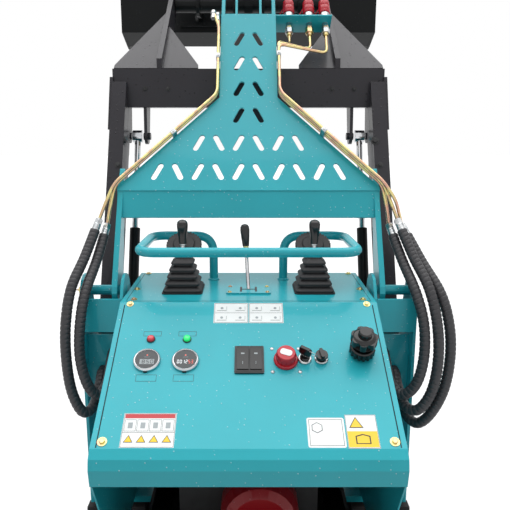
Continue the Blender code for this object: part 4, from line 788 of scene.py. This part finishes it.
def bootProfile():
    # Half widths and heights of the square bellows: each fold bellies out and is drawn in above it
    profile = [(boot["base"] + 3, 0), (boot["base"] + 3, 3)]
    for k in range(boot["folds"]):
        wide = boot["base"] + (boot["top"] - boot["base"]) * k / (boot["folds"] - 0.4)
        rise = 3 + boot["pitch"] * k
        profile += [(wide - 2, rise), (wide, rise + 3), (wide - 0.6, rise + 6.5), (wide - 5, rise + 10.5),
                    (wide - 13, rise + 15.5), (wide - 13.5, rise + 18.5)]
    return [*profile, (19, 103), (15, 118), (12, 121)]


def addJoysticks():
    for name in ("joystick_left", "joystick_right"):
        low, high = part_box(name)
        foot = Matrix.Translation(((low.x + high.x) / 2, (low.y + high.y) / 2, low.z))
        shape = bmesh.new()
        addSkin(shape, [outlineAt(roundedSquare(half, half, min(boot["corner"], half * 0.4), 4), height, foot)
                        for half, height in bootProfile()])
        addTurned(shape, [(7, 118), (7, 134), (9.2, 135), (9.2, 142), (8, 144)], foot, 1, 28)
        addTurned(shape, [(11, 139), (11.6, 143), (13.5, 165), (16, 186), (16.4, 196), (14.6, 203),
                          (10, 207.5), (4, 209.6), (0, 210)], foot, 2, 36)
        # The round toothed plate behind the lever, on its stalk
        lean = Matrix.Rotation(radians(boot["plateLean"]), 4, "X")
        plate = moved(foot, 0, boot["plateAhead"], boot["plateUp"]) @ lean
        root, tip = boot["toothRoot"], boot["toothTip"]
        teeth = []
        for k in range(boot["teeth"]):
            for share, radius in ((0.0, root), (0.12, tip), (0.5, tip), (0.62, root)):
                angle = 2 * pi * (k + share) / boot["teeth"]
                teeth.append((radius * cos(angle), radius * sin(angle)))
        addPrism(shape, teeth, -4, 4, plate, 0)
        addTurned(shape, [(34, 4), (30, 9), (12, 12)], plate, 0, 40)
        addBlock(shape, (16, 7, 92), moved(foot, 0, 40, 47), 0, 1.5)
        finished(name + "_lever", shape, "boot silver gloss", name, 28)


gateLever = {"plate": (65, 40), "plateY": 40, "bolts": (55, 30), "footY": 45, "lean": (-8, 28, 127)}


def addCentreLever():
    low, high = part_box("centre_lever")
    shape = bmesh.new()
    corner = Matrix.Translation(((low.x + high.x) / 2, low.y, low.z))
    gate = moved(corner, 0, gateLever["plateY"])
    addPrism(shape, roundedSquare(*gateLever["plate"], 4), 0, 4, gate, 0)
    boltX, boltY = gateLever["bolts"]
    for x in (-boltX, boltX):
        for y in (-boltY, boltY):
            hexBolt(shape, moved(gate, x, y, 4), 7, 1, 0.8)
    # The gate's slot, as a dark H standing a hair proud of the plate: painted shade where the slot's opening
    # lies in shadow
    for size, x in (((6, 52, 0.4), -22), ((6, 52, 0.4), 22), ((44, 7, 0.4), 0)):
        addBlock(shape, size, moved(gate, x, 0, 4.2), 2)
    foot = moved(corner, 0, gateLever["footY"], 4).translation
    head = foot + Vector(gateLever["lean"]) * mm
    addTube(shape, [foot, foot.lerp(head, 0.5), head], 5.5, 3, 20)
    knob = standing(head, head - foot)
    addTurned(shape, [(9.5, -4), (10.5, 4), (12.5, 24), (14, 44), (13, 54), (9, 60), (3, 62.4),
                      (0, 62.6)], knob, 4, 32)
    addDisc(shape, 8, -9, -3.5, knob, 1, 24)
    finished("centre_lever_gate", shape, "teal zinc ink chrome gloss", "centre_lever", 30)


rail = {"radius": 13.5, "height": 1260, "bend": 55, "foot": (110, -83), "end": (300, -76),
        "back": (305, -336), "boltY": -62}


def addHandrail():
    # A bent tube with a weld bead round each foot
    rise, top = panel["top"][1] + 0.3, rail["height"]
    half = [(*rail["foot"], rise), (*rail["foot"], top), (*rail["end"], top), (*rail["back"], top)]
    route = [(-x, y, z) for x, y, z in half] + half[::-1]
    shape = bmesh.new()
    addTube(shape, bentLine([point(*p) for p in route], rail["bend"], 10), rail["radius"], 0, 28)
    bead = [(18.5, 0), (17.5, 2.5), (14.5, 4.5), (13, 4.8)]
    footX, footY = rail["foot"]
    for x in (-footX, footX):
        addTurned(shape, bead, deckFrame(x, footY, 0.3), 0, 32)
    finished("handrail_tube", shape, "teal", "handrail")


def addRailFeet():
    shape = bmesh.new()
    diamond = [(0, -18), (12, -6), (12, 8), (4, 30), (-4, 30), (-12, 8), (-12, -6)]
    footX, footY = rail["foot"]
    for x in (-footX, footX):
        addPrism(shape, diamond, 0.2, 3.2, deckFrame(x, footY, 0.3), 0)
        hexBolt(shape, deckFrame(x, rail["boltY"], 3.5), 8, 1, 1.0)
    finished("rail_feet", shape, "teal zinc", smooth=30)


addPaintedGapShadeAndBolts()
addLabels()
addLamps()
addGauges()
addRockers()
addBatteryKnob()
addKeys()
addThrottle()
addJoysticks()
addCentreLever()
addHandrail()

print("steel lines, couplers, bolts and tread")
cover = {"foot": (-111, 1405), "top": (290, 1980), "half": 400, "neck": 95, "neckAt": 345, "square": 12}
lines = {"radius": 5, "apart": 11, "bend": 24, "off": 1.2, "drop": 1.5, "couplers": (143.5, 215, 272),
         "nut": 12.2, "ferrule": 11.6, "crimp": 10.6, "clamps": (500, 198)}
bracket = {"end": 292, "depth": 80, "down": 6}


def coverFrame(across, along, lift=0.0):
    return slopeFrame(cover, "foot", across, along, lift)


def upCover(across, along, lift=0.0):
    # A frame at the same place with its Z up the cover
    seat = coverFrame(across, along, lift)
    return standing(seat.translation, seat.to_3x3() @ Vector((0, 1, 0)))


coverLength = (Vector(cover["top"]) - Vector(cover["foot"])).length


def lineRoute(side, k):
    # Points across, along and out of the cover, down one tube
    edge, depth = lines["radius"] + lines["off"], lines["radius"] + lines["drop"] + lines["apart"] * k
    if side > 0:
        across, bend = lines["couplers"][k], coverLength - 105 - 17 * k
        start = [(across, coverLength - 56, -bracket["depth"] / 2), (across, bend, -bracket["depth"] / 2)]
    else:
        bend = coverLength - 50
        start = [(cover["neck"] + 12 + 14 * k, coverLength - 10, depth)]
    neck = cover["neck"] + edge
    return [*start, (neck, bend - 20, depth), (neck, cover["neckAt"] + 4, depth),
            (cover["half"] + edge, 16, depth), (cover["half"] + 14 + 12 * k, -45, depth - 4)]


def addSteelLines():
    # Bent and passivated tubes down the cover's edges, each ending in a nut and a crimped ferrule
    big, small = lines["ferrule"], lines["crimp"]
    for side, name, count in ((-1, "left", 2), (1, "right", 3)):
        shape = bmesh.new()
        for k in range(count):
            route = lineRoute(side, k)
            start, following = [point(*p) for p in hoseRoutes[f"hose_{name}_{k + 1}"][:2]]
            back = (start - following).normalized()
            way = [coverFrame(side * x, y, z).translation for x, y, z in route] + [start + back * 40 * mm]
            addTube(shape, bentLine(way, lines["bend"], 8), lines["radius"], 1 if k == 1 else 0, 16)
            end = standing(start + back * 0.4 * mm, back)
            addTurned(shape, [(big, 0), (big, 5), (small, 6), (small, 8), (big, 9), (big, 14),
                              (small, 15), (small, 17), (big, 18), (11, 22)], end, 2, 28)
            nut = lines["nut"]
            addTurned(shape, [(nut, 22), (nut, 38), (10, 40)], end, 2, 6)
            if side < 0:
                addTurned(shape, [(8.6, 0), (8.6, 15), (7, 16), (7, 20), (9, 21), (9, 32), (6, 34)],
                          upCover(side * route[0][0], coverLength - 38, route[0][2]), 2, 6)
        deep = lines["radius"] * 2 + 2 + lines["apart"] * (count - 1)
        slope = (cover["half"] - cover["neck"]) / (cover["neckAt"] - cover["square"])
        for along in lines["clamps"]:
            lean = slope if along < cover["neckAt"] else 0
            middle = cover["neck"] + lean * (cover["neckAt"] - along) + lines["radius"] + lines["off"]
            place = coverFrame(side * middle, along, deep / 2 + 0.6) @ Matrix.Rotation(
                side * atan2(lean, 1), 4, "Z")
            addBlock(shape, (13, 18, deep), place, 2, 1.2)
            hexBolt(shape, moved(place, 0, 0, deep / 2), 6.5, 2, 0.8)
        finished("steel_lines_" + name, shape, "copper zinc silver", "steel_tubes_" + name, smooth=30,
                 body="upper_arm")


def addCouplers():
    # The bracket across the neck, with three flat-faced couplers under rubber caps on straps
    shape = bmesh.new()
    left, right = cover["neck"] + 0.3, bracket["end"]
    along, lift = coverLength - bracket["down"], -bracket["depth"] / 2
    addBlock(shape, (right - left, 6, bracket["depth"]), coverFrame((left + right) / 2, along, lift), 0, 0.8)
    for k, across in enumerate(lines["couplers"]):
        place = upCover(across, along, lift)
        addTurned(shape, [(19.5, 3), (19.5, 12), (17, 13)], place, 1, 6)
        addTurned(shape, [(16, 13), (16, 24), (17.5, 25), (17.5, 40), (16, 42)], place, 1, 36)
        # The cap's ribs keep a thumb from slipping
        addTurned(shape, [(19, 41), (20.5, 44), (20.5, 50), (19.2, 52), (20.2, 55), (20.2, 70),
                          (19, 73), (20, 76), (19.6, 94), (17, 101), (11, 104), (0, 105)], place, 2, 36)
        strap = [place @ (Vector((19 + 16 * sin(pi * t / 10), -14 * sin(pi * t / 10), 66 - 5.4 * t)) * mm)
                 for t in range(11)]
        addTube(shape, smoothLine(strap, 3), 2.3, 2, 10)
        addDisc(shape, 11, -18, -3, place, 1, 24)
        addTurned(shape, [(13.2, -46), (15, -44), (15, -26), (13.2, -24)], place, 3 if k == 1 else 1, 6)
        addTurned(shape, [(8.5, -56), (9.5, -46)], place, 3, 24)
        addTurned(shape, [(12.4, -24), (13.2, -22.5), (13.2, -19), (0, -18)], place, 3, 6)
    finished("quick_couplers", shape, "teal silver redPlastic zinc", "coupler_bracket", 30,
             "upper_arm")


armBolts = {"spots": ((124, 141, 15), (375, 141, 15), (145, 89, 9), (168, 89, 9), (332, 89, 9), (354, 89, 9),
                      (118, 165, 11), (380, 165, 11))}
# Picture x and y of each bolt in the photograph's frame, and its size


def onNode(name, pictureX, pictureY):
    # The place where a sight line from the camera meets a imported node, standing out of its surface
    turn = radians(view["pitch"])
    x = (pictureX - view["middle"][0]) / view["focal"]
    y = (view["middle"][1] - pictureY) / view["focal"]
    way = Vector((x, cos(turn) + y * sin(turn), y * cos(turn) - sin(turn)))
    eye = point(0, view["back"], view["height"])
    hit, place, normal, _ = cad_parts[name].ray_cast(eye, way)
    return standing(place, normal) if hit else None


def addArmBolts():
    # Stop bolts on the arms and studs on the cross-beam
    shape = bmesh.new()
    for x, y, size in armBolts["spots"]:
        place = onNode("lift_arm", x, y)
        if place:
            hexBolt(shape, place, size, 0, 1.6)
    finished("arm_bolts", shape, "iron", smooth=30, body="lift_arm")


pins = {"face": 494.3, "places": ((-150, 850, 24), (-210, 1120, 19))}      # y, z, and the bolt's size


def addTowerPins():
    # Bolted keepers on the pin heads, with a grease nipple in the middle of each
    shape = bmesh.new()
    for side in (-1, 1):
        for y, z, size in pins["places"]:
            place = facingSide(side * pins["face"], y, z, side)
            hexBolt(shape, place, size, 0, 2.5)
            addTurned(shape, [(3.2, 9), (3.2, 14), (1.6, 15), (2.4, 17), (0, 18)], place, 0, 12)
    finished("pin_keepers", shape, "zinc", smooth=30)


wheels = {"rings": ((22, 100, 9, 0, 13), (50, 57.8, 6, 0.5, 11))}
# Each ring's place out from the track's middle, radius, number of bolts, first step and bolt size


def addWheelBolts():
    # Bolts round the sprocket's disc and on the end of its hub
    shape = bmesh.new()
    for side, name in ((-1, "left"), (1, "right")):
        trackX = sum(corner.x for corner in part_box("track_" + name)) / 2 / mm
        low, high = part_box("sprocket_" + name)
        y, z = ((low.y + high.y) / 2 - forward) / mm, (low.z + high.z) / 2 / mm
        for out, radius, count, first, size in wheels["rings"]:
            for k in range(count):
                angle = 2 * pi * (k + first) / count
                hexBolt(shape, facingSide(trackX + side * (out + 0.2), y + radius * cos(angle),
                                          z + radius * sin(angle), side), size)
    finished("wheel_bolts", shape, "iron", smooth=30)


tread = {"rows": 8, "columns": 13, "pitch": 42, "firstX": -252, "faceY": 40.2, "firstZ": 90,
         "bar": (26, 4.5, 2.4), "tilt": 45}


def addTread():
    # Raised bars on the platform's standing face, each turned a quarter from the next
    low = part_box("rear_platform")[0]
    faceY, firstZ = (low.y - forward) / mm + tread["faceY"], low.z / mm + tread["firstZ"]
    shape = bmesh.new()
    for row in range(tread["rows"]):
        for column in range(tread["columns"]):
            spot = point(tread["firstX"] + tread["pitch"] * column, faceY, firstZ + tread["pitch"] * row)
            tilt = tread["tilt"] if (row + column) % 2 else -tread["tilt"]
            addBlock(shape, tread["bar"], moved(standing(spot, (0, 1, 0)), 0, 0, 0, tilt), 0, 0.8, 1)
    finished("tread_bars", shape, "black", body="platform")


addArmBolts()
addWheelBolts()
addTread()
addSteelLines()
addCouplers()
addTowerPins()
addRailFeet()

print("finishes of the packed nodes")
nodeFinishes = {
    "teal": "tower_left tower_right console_shell front_body handrail upper_arm coupler_bracket",
    "dark": "lift_arm",
    "black": "chassis_frame track_frame_left track_frame_right rear_platform levelling_head "
             "quick_attach bucket lift_barrel_left lift_barrel_right tilt_barrel muffler",
    "redPaint": "engine_shroud",
    "redPlastic": "battery_switch",
    "plastic": "joystick_left joystick_right centre_lever gauge_left gauge_right switch_block "
               "start_switch lamp_switch throttle_knob air_cleaner",
    "track": "track_left track_right",
    "hose": " ".join(hoseRoutes),
    "iron": "sprocket_left sprocket_right idler_left idler_right engine_block",
    "chrome": "lift_rod_left lift_rod_right tilt_rod",
    "zinc": "steel_tubes_left steel_tubes_right",
}


def paintNodes():
    for finish, names in nodeFinishes.items():
        for name in names.split():
            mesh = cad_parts[name].data
            mesh.materials.clear()
            mesh.materials.append(finishes[finish])


paintNodes()
